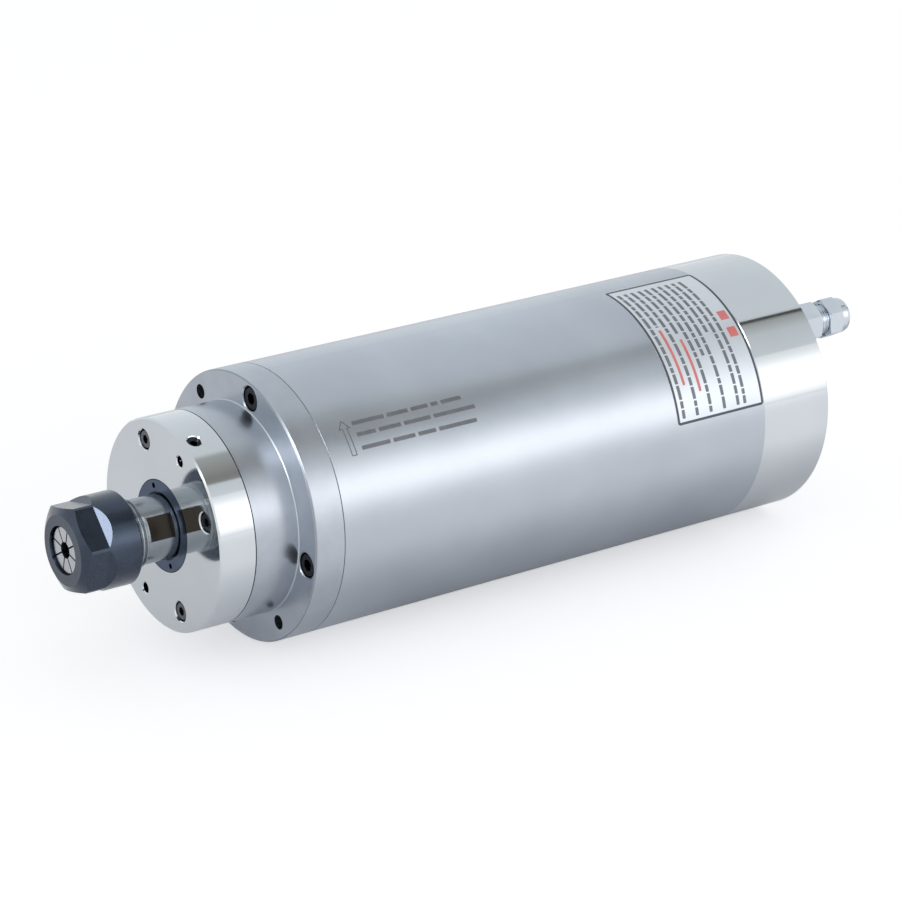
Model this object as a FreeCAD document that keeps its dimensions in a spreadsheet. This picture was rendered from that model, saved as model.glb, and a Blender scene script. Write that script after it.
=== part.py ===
"""Motor spindle with a collet nose: a liquid-cooled motor in a round body.

The spindle lies along X, with its nose towards -X and +Z up. The origin is on the axis, in the front
flange's face. Lengths are in millimetres. Angles round the axis are in degrees, from +Y towards +Z.
"""

import FreeCAD, Part
import math
import os

import Sketcher

# Driving dimensions: name, value, what it measures
DIMENSIONS = [
    ("body_diameter", 100, "outside of the body tube, flange and rear cap"),
    ("tube_wall", 3, "wall of the outer body tube"),
    ("tube_length", 191.5, "body tube, from the flange to the rear cap"),
    ("edge_break", 0.6, "small chamfer on the turned outside edges"),
    ("joint_break", 0.2, "finer chamfer where two outside pieces meet"),
    ("hole_break", 0.4, "chamfer at the mouth of the counterbores and jacking holes"),
    ("head_break", 0.4, "chamfer on the screw heads"),
    ("fit_gap", 0.02, "radial gap of a close fit between fixed pieces"),
    ("running_gap", 0.05, "radial gap of a running or threaded fit"),
    ("flange_thickness", 12, "front flange"),
    ("flange_step", 11, "flange beyond the nose, radially"),
    ("nose_length", 17.7, "nose in front of the flange face"),
    ("nose_foot", 0.35, "small slope at the nose's foot"),
    ("spigot_length", 9, "front housing's spigot inside the jacket sleeve"),
    ("cap_length", 14.5, "front cap"),
    ("cap_pilot", 3, "front cap's pilot inside the bearing bore"),
    ("cap_ring_gap", 0.25, "radial gap between the front cap and the lock ring"),
    ("cap_lip", 2, "relieved lip behind the front cap's bore"),
    ("bearing_stop_width", 3, "shoulders that touch the front outer rings, radially"),
    ("front_bearing_bore", 25, "front bearings, inside"),
    ("front_bearing_outside", 47, "front bearings, outside"),
    ("front_bearing_width", 12, "one front bearing"),
    ("front_spacer_length", 6, "spacers between the two front bearings"),
    ("spacer_thickness", 2.6, "spacers, radially"),
    ("rear_bearing_bore", 20, "rear bearing, inside"),
    ("rear_bearing_outside", 42, "rear bearing, outside"),
    ("rear_bearing_width", 12, "rear bearing"),
    ("ring_thickness", 3.4, "bearing rings, radially"),
    ("cage_gap", 0.7, "radial gap between a cage and the inner ring"),
    ("cage_guide_gap", 0.25, "radial gap between a cage and the outer ring that guides it"),
    ("cage_recess", 1.5, "how far a cage lies inside its bearing's faces"),
    ("ball_diameter", 6.35, "bearing balls"),
    ("ball_gap", 0.12, "gap between a ball and its raceway"),
    ("pocket_gap", 0.15, "radial gap between a ball and its cage pocket"),
    ("front_ball_count", 13, "balls in each front bearing"),
    ("rear_ball_count", 11, "balls in the rear bearing"),
    ("lock_ring_step", 0.85, "lock ring beyond the inner ring, radially"),
    ("lock_ring_foot", 5, "narrow foot of the lock ring against the inner ring"),
    ("spanner_hole", 2, "spanner holes"),
    ("spanner_depth", 3, "depth of the spanner holes"),
    ("spanner_angle", 70, "first spanner hole"),
    ("shaft_overhang", 65.5, "shaft end in front of the flange face"),
    ("thread_flank_angle", 30, "slope of a thread's flanks"),
    ("nose_thread_diameter", 25, "thread for the collet nut"),
    ("nose_thread_length", 20.5, "length of that thread"),
    ("nose_thread_pitch", 1.5, "from ridge to ridge of that thread"),
    ("nose_thread_depth", 0.9, "its ridges, radially"),
    ("neck_diameter", 23.6, "shaft neck behind the thread"),
    ("neck_sink", 2.5, "neck's rear end inside the lock ring"),
    ("wrench_flat_width", 22, "across the two wrench flats"),
    ("wrench_flat_margin", 0.75, "round neck left in front of the wrench flats"),
    ("wrench_flat_gap", 1.55, "from the flats to the front cap's face"),
    ("wrench_flat_angle", 157.3, "middle of the first wrench flat"),
    ("shaft_shoulder_step", 0.4, "shaft shoulders below the inner rings, radially"),
    ("shaft_shoulder_length", 14, "length of that shoulder"),
    ("tail_overhang", 1.4, "shaft end behind its rear lock nut"),
    ("taper_angle", 8, "collet taper, each side"),
    ("nut_cone_angle", 30, "collet's front cone, each side"),
    ("drawbar_bore", 12.6, "clearance bore behind the collet taper"),
    ("drawbar_bore_length", 14.8, "length of that bore"),
    ("collet_length", 31.5, "collet"),
    ("collet_diameter", 21, "collet at the foot of its front cone"),
    ("collet_cone_start", 2.8, "front cone's small end behind the collet face"),
    ("collet_cone_end", 6.36, "front cone's large end behind the collet face"),
    ("collet_lip_diameter", 17.2, "collet's front lip"),
    ("collet_lip_length", 1.6, "length of the front lip"),
    ("collet_groove_diameter", 15.8, "extraction groove"),
    ("collet_bore", 6, "tool shank"),
    ("collet_slot_width", 0.6, "collet slots"),
    ("collet_slot_count", 8, "slots from each end"),
    ("collet_slot_stop", 5, "metal left at the blind end of a slot"),
    ("collet_slot_angle", 14, "first front slot"),
    ("collet_gap", 0.04, "gap between the collet and its seats"),
    ("collet_recess", 1, "collet face behind the nut face"),
    ("nut_length", 22.5, "collet nut"),
    ("nut_diameter", 34, "collet nut"),
    ("nut_flat_width", 30, "across the nut's flats"),
    ("nut_flat_length", 9.5, "flats, from the nut's face"),
    ("nut_flat_runout", 2.7, "slanted shoulder behind each flat"),
    ("nut_flat_angle", 136.9, "middle of the first flat"),
    ("nut_nose_diameter", 25.6, "nut face inside its chamfer"),
    ("nut_chamfer_length", 2.4, "front chamfer of the nut"),
    ("nut_mouth_diameter", 17.5, "hole in the nut's face"),
    ("nut_lip_bore", 16.3, "extraction lip inside the nut"),
    ("nut_lip_offset", 0.55, "how far the lip's bore is off centre"),
    ("nut_shoulder_gap", 0.6, "nut's inner shoulder before the shaft end"),
    ("collet_sink", 0.6, "collet's largest diameter inside the shaft end"),
    ("sleeve_wall", 7, "wall of the jacket sleeve round the stator"),
    ("rear_sleeve_wall", 6.5, "wall of the jacket sleeve round the rear housing"),
    ("channel_depth", 4, "cooling channels in the sleeve"),
    ("channel_count", 6, "lengthwise cooling channels"),
    ("channel_rib_angle", 10, "rib between two channels"),
    ("channel_turn", 12, "length of the passages that join two channels"),
    ("front_land", 20, "plain front end of the sleeve"),
    ("rear_land", 25.5, "plain rear end of the sleeve"),
    ("seal_section", 2, "seal rings, radially and along the axis"),
    ("seal_groove_play", 0.2, "seal groove, wider than its ring"),
    ("front_seal_place", 14, "front seal groove behind the flange joint"),
    ("rear_seal_place", 21, "rear seal groove before the rear cap joint"),
    ("stator_length", 80, "stator and rotor cores"),
    ("stator_start", 55, "front of both cores"),
    ("air_gap", 0.4, "between the rotor and the stator"),
    ("rotor_diameter", 50, "rotor core"),
    ("rotor_wall", 8, "rotor core round the shaft"),
    ("slot_count", 24, "winding slots in the stator core"),
    ("slot_opening", 1.8, "mouth of a winding slot"),
    ("slot_throat", 1.2, "depth of that mouth"),
    ("core_back", 5, "stator core behind its winding slots"),
    ("tooth_width", 3.8, "stator tooth between two slots"),
    ("slot_liner", 0.5, "insulation between the winding and its slot"),
    ("winding_length", 19, "each end winding"),
    ("winding_outer_gap", 2.5, "gap round the end windings"),
    ("winding_inner_gap", 2, "gap between the end windings and the rotor"),
    ("bar_count", 20, "bars of the rotor cage"),
    ("bar_diameter", 5, "bars of the rotor cage"),
    ("end_ring_length", 8, "rotor end rings"),
    ("end_ring_step", 0.7, "rotor end rings, inside the core's outside"),
    ("rear_housing_length", 23, "rear housing"),
    ("rear_housing_lip", 3, "front lip of the rear housing"),
    ("spring_thickness", 1.6, "preload spring ring"),
    ("lead_hole_diameter", 10, "lead hole through the rear housing"),
    ("lead_hole_angle", 220, "place of the lead hole"),
    ("rear_nut_step", 2.1, "rear lock nut beyond the inner ring, radially"),
    ("rear_nut_length", 6, "that lock nut"),
    ("rear_cap_length", 32, "rear cap"),
    ("rear_cap_wall", 21, "rear cap round its wiring space"),
    ("rear_cap_floor", 6, "end wall of the rear cap"),
    ("joint_edge_distance", 6, "flange, mounting and rear cap screws, in from the outside"),
    ("flange_screw_angle", 11, "first flange screw"),
    ("mount_hole_angle", 56, "first tapped mounting hole"),
    ("mount_hole_diameter", 5.4, "tapped mounting holes"),
    ("rear_screw_angle", 85, "first rear cap screw"),
    ("screw_count", 4, "screws in each ring of screws"),
    ("large_screw", 5, "flange and rear cap screws"),
    ("large_head_diameter", 8.5, "their heads"),
    ("large_hole", 5.8, "their clearance holes"),
    ("large_counterbore", 9.2, "their counterbores"),
    ("large_counterbore_depth", 5.6, "their counterbores"),
    ("large_socket", 4, "across their sockets"),
    ("flange_screw_length", 16, "under the head"),
    ("rear_screw_length", 40, "under the head"),
    ("cap_screw_edge_distance", 7.9, "front cap screws, in from the nose's outside"),
    ("cap_screw_angle", 70, "first front cap screw"),
    ("small_screw", 4, "front cap screws"),
    ("small_head_diameter", 6.8, "their heads"),
    ("small_hole", 4.5, "their clearance holes"),
    ("small_counterbore", 7.4, "their counterbores"),
    ("small_counterbore_depth", 4.6, "their counterbores"),
    ("small_socket", 3, "across their sockets"),
    ("cap_screw_length", 20, "under the head"),
    ("tapped_hole_play", 2, "tapped holes, deeper than their screws"),
    ("jack_hole_diameter", 3.9, "tapped jacking holes in the front cap"),
    ("jack_hole_angle", 115, "first jacking hole"),
    ("plug_diameter", 5, "plug screw in the front cap's side"),
    ("plug_length", 6, "plug screw"),
    ("plug_recess", 1.2, "plug screw below the surface"),
    ("plug_socket", 2.5, "across the plug screw's socket"),
    ("plug_setback", 4.8, "plug screw behind the front cap's face"),
    ("plug_angle", 113.7, "plug screw"),
    ("fitting_edge_distance", 14, "water fittings, in from the body's outside"),
    ("fitting_angle", 130, "the fitting that the front view shows"),
    ("fitting_stem_diameter", 9.7, "threaded stem"),
    ("fitting_stem_length", 8, "threaded stem"),
    ("washer_thickness", 1.5, "sealing washer"),
    ("washer_diameter", 15, "sealing washer"),
    ("fitting_flats", 14, "across the flats of the body and the nut"),
    ("fitting_hex_length", 11.5, "hexagon of the fitting body"),
    ("union_thread", 12, "thread under the union nut"),
    ("union_thread_length", 10, "that thread"),
    ("union_thread_pitch", 1.25, "from ridge to ridge of that thread"),
    ("union_thread_depth", 0.7, "its ridges, radially"),
    ("union_nut_gap", 4, "thread that shows before the nut"),
    ("union_nut_length", 11.5, "union nut"),
    ("union_nut_hex", 7, "hexagon of the union nut"),
    ("union_nut_end", 13.8, "round end of the union nut"),
    ("union_nut_round", 2.4, "rounding of that end"),
    ("tube_socket", 8.1, "socket for an 8 mm tube"),
    ("tube_stop", 6, "socket's stop behind the fitting's washer"),
    ("water_bore", 5, "waterway"),
    ("ferrule_length", 3, "ferrule"),
    ("ferrule_diameter", 10.6, "ferrule"),
    ("port_edge_distance", 4, "drilled ways, in from the sleeve's outside"),
    ("port_hole", 3, "drilled ways into the jacket"),
    ("port_slot_depth", 4, "milled way in the rear cap's joint face"),
    ("connector_plate", 27, "square flange of the connector"),
    ("connector_plate_thickness", 2.5, "that flange"),
    ("connector_outside", 20, "connector shell"),
    ("connector_inside", 17, "connector shell"),
    ("connector_reach", 15, "shell beyond the rear cap"),
    ("connector_thread_length", 8, "thread on the shell's end"),
    ("connector_thread_pitch", 1, "from ridge to ridge of that thread"),
    ("connector_thread_depth", 0.5, "its ridges, radially"),
    ("connector_tail", 3, "insert inside the rear cap's wall"),
    ("connector_well", 7, "open depth in front of the insert"),
    ("gasket_thickness", 1, "connector gasket"),
    ("pin_diameter", 1.8, "contact pins"),
    ("pin_spread", 3.6, "pins from the connector axis, both ways"),
    ("pin_length", 5.5, "pins in front of the insert"),
    ("plate_screw_spread", 10.6, "connector screws from its axis, both ways"),
    ("plate_screw", 3, "connector screws"),
    ("plate_screw_length", 7, "under the head"),
    ("plate_head_diameter", 5.4, "their heads"),
    ("plate_head_height", 1.8, "their heads"),
]


class Length:
    """A number from the sheet, or worked out from it, with the expression that gives it."""

    def __init__(self, value, text):
        self.value = value
        self.text = text

    @staticmethod
    def of(number):
        """Wrap a plain number, and leave a Length as it is."""
        if isinstance(number, Length):
            return number
        return Length(float(number), f"({number})")

    def join(self, sign, other, value):
        return Length(value, f"({self.text} {sign} {Length.of(other).text})")

    def __add__(self, other):
        return self.join("+", other, self.value + Length.of(other).value)

    def __sub__(self, other):
        return self.join("-", other, self.value - Length.of(other).value)

    def __mul__(self, other):
        return self.join("*", other, self.value * Length.of(other).value)

    def __truediv__(self, other):
        return self.join("/", other, self.value / Length.of(other).value)

    def __neg__(self):
        return Length(-self.value, f"(0 - {self.text})")

    def sine(self):
        return Length(math.sin(math.radians(self.value)), f"sin({self.text})")

    def cosine(self):
        return Length(math.cos(math.radians(self.value)), f"cos({self.text})")

    def tangent(self):
        return Length(math.tan(math.radians(self.value)), f"tan({self.text})")


class Sizes:
    """The spreadsheet's cells, read by name."""

    def __init__(self, sheet):
        self.sheet = sheet

    def __getattr__(self, name):
        return Length(float(self.sheet.get(name)), f"{self.sheet.Name}.{name}")


document = FreeCAD.newDocument("MotorSpindle")
sheet = document.addObject("Spreadsheet::Sheet", "Sizes")
for row, (name, value, meaning) in enumerate(DIMENSIONS, start=1):
    sheet.set(f"A{row}", name)
    sheet.set(f"B{row}", str(value))
    sheet.set(f"C{row}", meaning)
    sheet.setAlias(f"B{row}", name)
document.recompute()
size = Sizes(sheet)
parts = []

# Radii and places that several pieces share
ZERO = Length.of(0)
PAIR = Length.of(2)
SIX = Length.of(6)
body_radius = size.body_diameter / 2
nose_radius = body_radius - size.flange_step
sleeve_radius = body_radius - size.tube_wall
sleeve_bore_radius = sleeve_radius - size.sleeve_wall
rear_bore_radius = sleeve_radius - size.rear_sleeve_wall
joint_radius = body_radius - size.joint_edge_distance
cap_screw_radius = nose_radius - size.cap_screw_edge_distance
fitting_radius = body_radius - size.fitting_edge_distance
port_radius = sleeve_radius - size.port_edge_distance
tube_start = size.flange_thickness
tube_end = tube_start + size.tube_length
rear_end = tube_end + size.rear_cap_length
nose_front = -size.nose_length
cap_front = nose_front - size.cap_length
plug_place = cap_front + size.plug_setback
bearing_start = nose_front + size.cap_pilot
second_bearing_start = bearing_start + size.front_bearing_width + size.front_spacer_length
bearing_end = second_bearing_start + size.front_bearing_width
front_seat_radius = size.front_bearing_outside / 2 + size.fit_gap
stop_radius = size.front_bearing_outside / 2 - size.bearing_stop_width
shaft_seat_radius = size.front_bearing_bore / 2
inner_ring_radius = shaft_seat_radius + size.ring_thickness
lock_ring_radius = inner_ring_radius + size.lock_ring_step
cap_bore_radius = lock_ring_radius + size.cap_ring_gap
shaft_front = -size.shaft_overhang
thread_radius = size.nose_thread_diameter / 2
rotor_start = size.stator_start
rotor_end = rotor_start + size.stator_length
rotor_radius = size.rotor_diameter / 2
rotor_seat_radius = rotor_radius - size.rotor_wall
slot_throat_radius = rotor_radius + size.air_gap + size.slot_throat
slot_bottom_radius = sleeve_bore_radius - size.core_back
rear_housing_start = tube_end - size.rear_housing_length
rear_bearing_start = rear_housing_start + size.rear_housing_lip + size.spring_thickness
rear_bearing_end = rear_bearing_start + size.rear_bearing_width
rear_seat_radius = size.rear_bearing_bore / 2
rear_inner_ring_radius = rear_seat_radius + size.ring_thickness
rear_outer_ring_radius = size.rear_bearing_outside / 2 - size.ring_thickness
collet_front = shaft_front + size.collet_sink - size.collet_cone_end
collet_shoulder = collet_front + size.collet_cone_end
nut_front = collet_front - size.collet_recess


def origin_feature(body, role):
    """Return one of the body's own origin planes or axes."""
    return next(feature for feature in body.Origin.OriginFeatures if feature.Role == role)


def new_body(label):
    """Start a sub-part. Its label names its file."""
    body = document.addObject("PartDesign::Body", label)
    body.Label = label
    parts.append(body)
    return body


def new_sketch(body, name, role, offset=ZERO, turn=None):
    """Start a sketch on an origin plane, moved along its normal, or turned about X to an angle."""
    sketch = body.newObject("Sketcher::SketchObject", f"{body.Name}_{name}")
    sketch.AttachmentSupport = (origin_feature(body, role), [""])
    sketch.MapMode = "FlatFace"
    place = FreeCAD.Vector(0, 0, offset.value)
    rotation = FreeCAD.Rotation()
    if turn is not None:
        rotation = FreeCAD.Rotation(FreeCAD.Vector(1, 0, 0), turn.value - 90)
    sketch.AttachmentOffset = FreeCAD.Placement(place, rotation)
    sketch.setExpression("AttachmentOffset.Base.z", offset.text)
    if turn is not None:
        sketch.setExpression("AttachmentOffset.Rotation.Angle", f"{turn.text} - 90")
    return sketch


def bind(sketch, constraint, length):
    """Add a distance to a sketch and bind it to its expression."""
    index = sketch.addConstraint(constraint)
    sketch.setExpression(f"Constraints[{index}]", length.text)


def pin_point(sketch, geometry, end, across, up):
    """Hold one point of a sketch at two signed distances from the origin."""
    bind(sketch, Sketcher.Constraint("DistanceX", -1, 1, geometry, end, across.value), across)
    bind(sketch, Sketcher.Constraint("DistanceY", -1, 1, geometry, end, up.value), up)


def draw_polygon(sketch, points):
    """Draw a closed outline of straight lines through points of two lengths."""
    first = sketch.GeometryCount
    count = len(points)
    for index in range(count):
        start = points[index]
        finish = points[(index + 1) % count]
        sketch.addGeometry(Part.LineSegment(
            FreeCAD.Vector(start[0].value, start[1].value, 0),
            FreeCAD.Vector(finish[0].value, finish[1].value, 0)))
    for index in range(count):
        sketch.addConstraint(Sketcher.Constraint(
            "Coincident", first + index, 2, first + (index + 1) % count, 1))
    for index, (across, up) in enumerate(points):
        pin_point(sketch, first + index, 1, across, up)


def draw_circle(sketch, centre, radius):
    """Draw a circle round a centre of two lengths."""
    index = sketch.addGeometry(Part.Circle(
        FreeCAD.Vector(centre[0].value, centre[1].value, 0), FreeCAD.Vector(0, 0, 1), radius.value))
    bind(sketch, Sketcher.Constraint("Radius", index, radius.value), radius)
    pin_point(sketch, index, 3, *centre)


def polar(radius, angle):
    """Return the Y and Z of a point at a radius and an angle round the axis."""
    return radius * angle.cosine(), radius * angle.sine()


def regular_polygon(centre, flat_width, sides, first_angle=ZERO):
    """Return the corners of a regular polygon, given across its flats."""
    corner_radius = flat_width / 2 / math.cos(math.pi / sides)
    corners = []
    for index in range(sides):
        across, up = polar(corner_radius, first_angle + 360 / sides * index)
        corners.append((centre[0] + across, centre[1] + up))
    return corners


def turn_profile(body, name, profile, axis_height=None, angle=None, kind="Revolution"):
    """Turn a closed profile of (x, radius) about the X axis, or about a line parallel to it."""
    sketch = new_sketch(body, f"{name}_profile", "XZ_Plane", turn=angle)
    reference = "H_Axis"
    if axis_height is not None:
        profile = [(along, radius + axis_height) for along, radius in profile]
        reference = "Axis0"
    draw_polygon(sketch, profile)
    if axis_height is not None:
        line = sketch.addGeometry(Part.LineSegment(
            FreeCAD.Vector(0, axis_height.value, 0), FreeCAD.Vector(1, axis_height.value, 0)), True)
        sketch.addConstraint(Sketcher.Constraint("Horizontal", line))
        sketch.addConstraint(Sketcher.Constraint("DistanceX", line, 1, line, 2, 1))
        pin_point(sketch, line, 1, ZERO, axis_height)
    turning = body.newObject(f"PartDesign::{kind}", f"{body.Name}_{name}")
    turning.Profile = sketch
    turning.ReferenceAxis = (sketch, [reference])
    turning.Angle = 360
    document.recompute()
    return turning


def pocket(body, name, sketch, depth, both_ways=False):
    """Cut a sketch along its own normal, and prove that metal was taken away."""
    before = body.Shape.Volume
    cut = body.newObject("PartDesign::Pocket", f"{body.Name}_{name}")
    cut.Profile = sketch
    cut.Length = depth.value
    cut.setExpression("Length", depth.text)
    if both_ways:
        cut.SideType = "Symmetric"
    else:
        cut.Reversed = True
    document.recompute()
    if body.Shape.Volume >= before:
        raise RuntimeError(f"{cut.Name} cuts nothing")
    return cut


def pad(body, name, sketch, depth):
    """Build a sketch up along its normal."""
    solid = body.newObject("PartDesign::Pad", f"{body.Name}_{name}")
    solid.Profile = sketch
    solid.Length = depth.value
    solid.setExpression("Length", depth.text)
    document.recompute()
    return solid


def repeat(body, name, features, count):
    """Repeat features round the X axis."""
    pattern = body.newObject("PartDesign::PolarPattern", f"{body.Name}_{name}")
    pattern.Originals = features
    pattern.Axis = (origin_feature(body, "X_Axis"), [""])
    pattern.Angle = 360
    pattern.Occurrences = int(round(count.value))
    pattern.setExpression("Occurrences", count.text)
    body.Tip = pattern
    document.recompute()
    return pattern


def drill(body, name, start, centre, diameter, depth):
    """Drill a round hole towards the rear, from a plane at start."""
    sketch = new_sketch(body, f"{name}_circle", "YZ_Plane", start)
    draw_circle(sketch, centre, diameter / 2)
    return pocket(body, name, sketch, depth)


def cut_flats(body, name, profile, count, first_angle, width):
    """Mill flats round the axis, from the profile (x, radius) of what the cutter takes."""
    sketch = new_sketch(body, f"{name}_profile", "XZ_Plane", turn=first_angle)
    draw_polygon(sketch, profile)
    cut = pocket(body, name, sketch, width, both_ways=True)
    return repeat(body, f"{name}_round", [cut], count)


def place_body(body, across=ZERO, up=ZERO, turn=None):
    """Move a body off the axis, or turn it about the axis."""
    rotation = FreeCAD.Rotation(FreeCAD.Vector(1, 0, 0), 0 if turn is None else turn.value)
    body.Placement = FreeCAD.Placement(FreeCAD.Vector(0, across.value, up.value), rotation)
    body.setExpression("Placement.Base.y", across.text)
    body.setExpression("Placement.Base.z", up.text)
    if turn is not None:
        body.setExpression("Placement.Rotation.Angle", turn.text)


def turned_ring(label, start, length, inner_radius, outer_radius):
    """Make a plain ring round the axis."""
    body = new_body(label)
    add_ring(body, "ring", start, length, inner_radius, outer_radius)
    return body


def add_ring(body, name, start, length, inner_radius, outer_radius):
    """Add a plain ring round the axis to a body."""
    end = start + length
    return turn_profile(body, name, [
        (start, inner_radius),
        (start, outer_radius),
        (end, outer_radius),
        (end, inner_radius),
    ])


def countersink(body, name, along, angle, hole_radius, surface_radius):
    """Break the mouth of a hole drilled from the side towards the X axis."""
    low = surface_radius - size.hole_break
    high = surface_radius + size.hole_break
    sketch = new_sketch(body, f"{name}_profile", "XZ_Plane", turn=angle)
    draw_polygon(sketch, [
        (along, low),
        (along + hole_radius, low),
        (along + hole_radius + size.hole_break * 2, high),
        (along, high),
    ])
    line = sketch.addGeometry(Part.LineSegment(
        FreeCAD.Vector(along.value, 0, 0), FreeCAD.Vector(along.value, 1, 0)), True)
    sketch.addConstraint(Sketcher.Constraint("Vertical", line))
    sketch.addConstraint(Sketcher.Constraint("DistanceY", line, 1, line, 2, 1))
    pin_point(sketch, line, 1, along, ZERO)
    before = body.Shape.Volume
    groove = body.newObject("PartDesign::Groove", f"{body.Name}_{name}")
    groove.Profile = sketch
    groove.ReferenceAxis = (sketch, ["Axis0"])
    groove.Angle = 360
    document.recompute()
    if body.Shape.Volume >= before:
        raise RuntimeError(f"{groove.Name} cut nothing")


def stepped_hole(body, name, profile, circle_radius, angle):
    """Bore a stepped round hole parallel to the axis, and prove that metal was taken away."""
    before = body.Shape.Volume
    cut = turn_profile(body, name, profile, circle_radius, angle, "Groove")
    if body.Shape.Volume >= before:
        raise RuntimeError(f"{cut.Name} cuts nothing")
    return cut


def counterbored_holes(body, face, inward, angle, circle_radius, head, head_depth, hole, depth):
    """Make a ring of counterbored screw holes whose heads go in at face."""
    floor = face + head_depth * inward
    mouth = face + size.hole_break * inward
    cut = stepped_hole(body, "screw_hole", [
        (face, ZERO),
        (face, head / 2 + size.hole_break),
        (mouth, head / 2),
        (floor, head / 2),
        (floor, hole / 2),
        (face + depth * inward, hole / 2),
        (face + depth * inward, ZERO),
    ], circle_radius, angle)
    return repeat(body, "screw_holes", [cut], size.screw_count)


def screw_ring(label, seat, outward, screw, head, head_height, length, socket, circle_radius, angle):
    """Make a ring of socket head screws whose heads rest on the plane at seat."""
    body = new_body(label)
    top = seat + head_height * outward
    tip = seat - length * outward
    head_radius = head / 2
    screw_radius = screw / 2
    bevel = size.head_break
    turned = turn_profile(body, "screw", [
        (top, ZERO),
        (top, head_radius - bevel),
        (top - bevel * outward, head_radius),
        (seat, head_radius),
        (seat, screw_radius),
        (tip, screw_radius),
        (tip, ZERO),
    ], circle_radius)
    depth = head_height / 2
    floor = top if outward < 0 else top - depth
    sketch = new_sketch(body, "socket_outline", "YZ_Plane", floor)
    draw_polygon(sketch, regular_polygon((ZERO, circle_radius), socket, 6))
    cut = pocket(body, "socket", sketch, depth)
    repeat(body, "screws", [turned, cut], size.screw_count)
    place_body(body, turn=angle - 90)
    return body


def front_housing():
    """Nose and mounting flange in one turned piece, with the seat of the front bearings."""
    body = new_body("front_housing")
    spigot_radius = sleeve_bore_radius - size.fit_gap
    spigot_end = tube_start + size.spigot_length
    turn_profile(body, "turning", [
        (nose_front, front_seat_radius),
        (nose_front, nose_radius - size.joint_break),
        (nose_front + size.joint_break, nose_radius),
        (-size.nose_foot, nose_radius),
        (ZERO, nose_radius + size.nose_foot),
        (ZERO, body_radius - size.edge_break),
        (size.edge_break, body_radius),
        (tube_start - size.joint_break, body_radius),
        (tube_start, body_radius - size.joint_break),
        (tube_start, spigot_radius),
        (spigot_end, spigot_radius),
        (spigot_end, stop_radius),
        (bearing_end, stop_radius),
        (bearing_end, front_seat_radius),
    ])
    counterbored_holes(body, ZERO, 1, size.flange_screw_angle, joint_radius, size.large_counterbore,
                       size.large_counterbore_depth, size.large_hole, size.flange_thickness)
    mount_hole = drill(body, "mount_hole", ZERO, polar(joint_radius, size.mount_hole_angle),
                       size.mount_hole_diameter, size.flange_thickness)
    repeat(body, "mount_holes", [mount_hole], PAIR)
    screw_reach = size.cap_screw_length - (size.cap_length - size.small_counterbore_depth)
    tapped = drill(body, "tapped_hole", nose_front, polar(cap_screw_radius, size.cap_screw_angle),
                   size.small_screw + size.fit_gap * 2, screw_reach + size.tapped_hole_play)
    repeat(body, "tapped_holes", [tapped], size.screw_count)


def front_cap():
    """Cap that holds the front bearings and surrounds the lock ring."""
    body = new_body("front_cap")
    pilot_radius = front_seat_radius - size.fit_gap * 2
    turn_profile(body, "turning", [
        (cap_front, cap_bore_radius),
        (cap_front, nose_radius - size.edge_break),
        (cap_front + size.edge_break, nose_radius),
        (nose_front - size.joint_break, nose_radius),
        (nose_front, nose_radius - size.joint_break),
        (nose_front, pilot_radius),
        (bearing_start, pilot_radius),
        (bearing_start, stop_radius),
        (nose_front - size.cap_lip, stop_radius),
        (nose_front - size.cap_lip, cap_bore_radius),
    ])
    counterbored_holes(body, cap_front, 1, size.cap_screw_angle, cap_screw_radius,
                       size.small_counterbore, size.small_counterbore_depth, size.small_hole,
                       size.cap_length)
    jack_hole = stepped_hole(body, "jack_hole", [
        (cap_front, ZERO),
        (cap_front, size.jack_hole_diameter / 2 + size.hole_break),
        (cap_front + size.hole_break, size.jack_hole_diameter / 2),
        (nose_front, size.jack_hole_diameter / 2),
        (nose_front, ZERO),
    ], cap_screw_radius, size.jack_hole_angle)
    repeat(body, "jack_holes", [jack_hole], PAIR)
    sketch = new_sketch(body, "port_circle", "XY_Plane", turn=size.plug_angle)
    port_radius = size.plug_diameter / 2 + size.fit_gap
    draw_circle(sketch, (plug_place, ZERO), port_radius)
    pocket(body, "port", sketch, body_radius)
    countersink(body, "port_mouth", plug_place, size.plug_angle, port_radius, nose_radius)


def air_port_plug():
    """Headless screw that closes the air port in the front cap's side."""
    body = new_body("air_port_plug")
    top = nose_radius - size.plug_recess
    bottom = top - size.plug_length
    sketch = new_sketch(body, "circle", "XY_Plane", bottom)
    draw_circle(sketch, (plug_place, ZERO), size.plug_diameter / 2)
    pad(body, "rod", sketch, size.plug_length)
    socket_depth = size.plug_length / 2
    sketch = new_sketch(body, "socket_outline", "XY_Plane", top - socket_depth)
    draw_polygon(sketch, regular_polygon((plug_place, ZERO), size.plug_socket, 6))
    pocket(body, "socket", sketch, socket_depth)
    place_body(body, turn=size.plug_angle - 90)


def front_lock_ring():
    """Ring nut that clamps the front inner rings and seals with the cap's bore."""
    body = new_body("front_lock_ring")
    bore_radius = shaft_seat_radius + size.fit_gap
    foot_start = bearing_start - size.lock_ring_foot
    turn_profile(body, "turning", [
        (cap_front, bore_radius),
        (cap_front, lock_ring_radius),
        (foot_start, lock_ring_radius),
        (foot_start, inner_ring_radius),
        (bearing_start, inner_ring_radius),
        (bearing_start, bore_radius),
    ])
    middle_radius = (bore_radius + lock_ring_radius) / 2
    hole = drill(body, "spanner_hole", cap_front, polar(middle_radius, size.spanner_angle),
                 size.spanner_hole, size.spanner_depth)
    repeat(body, "spanner_holes", [hole], PAIR)


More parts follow.
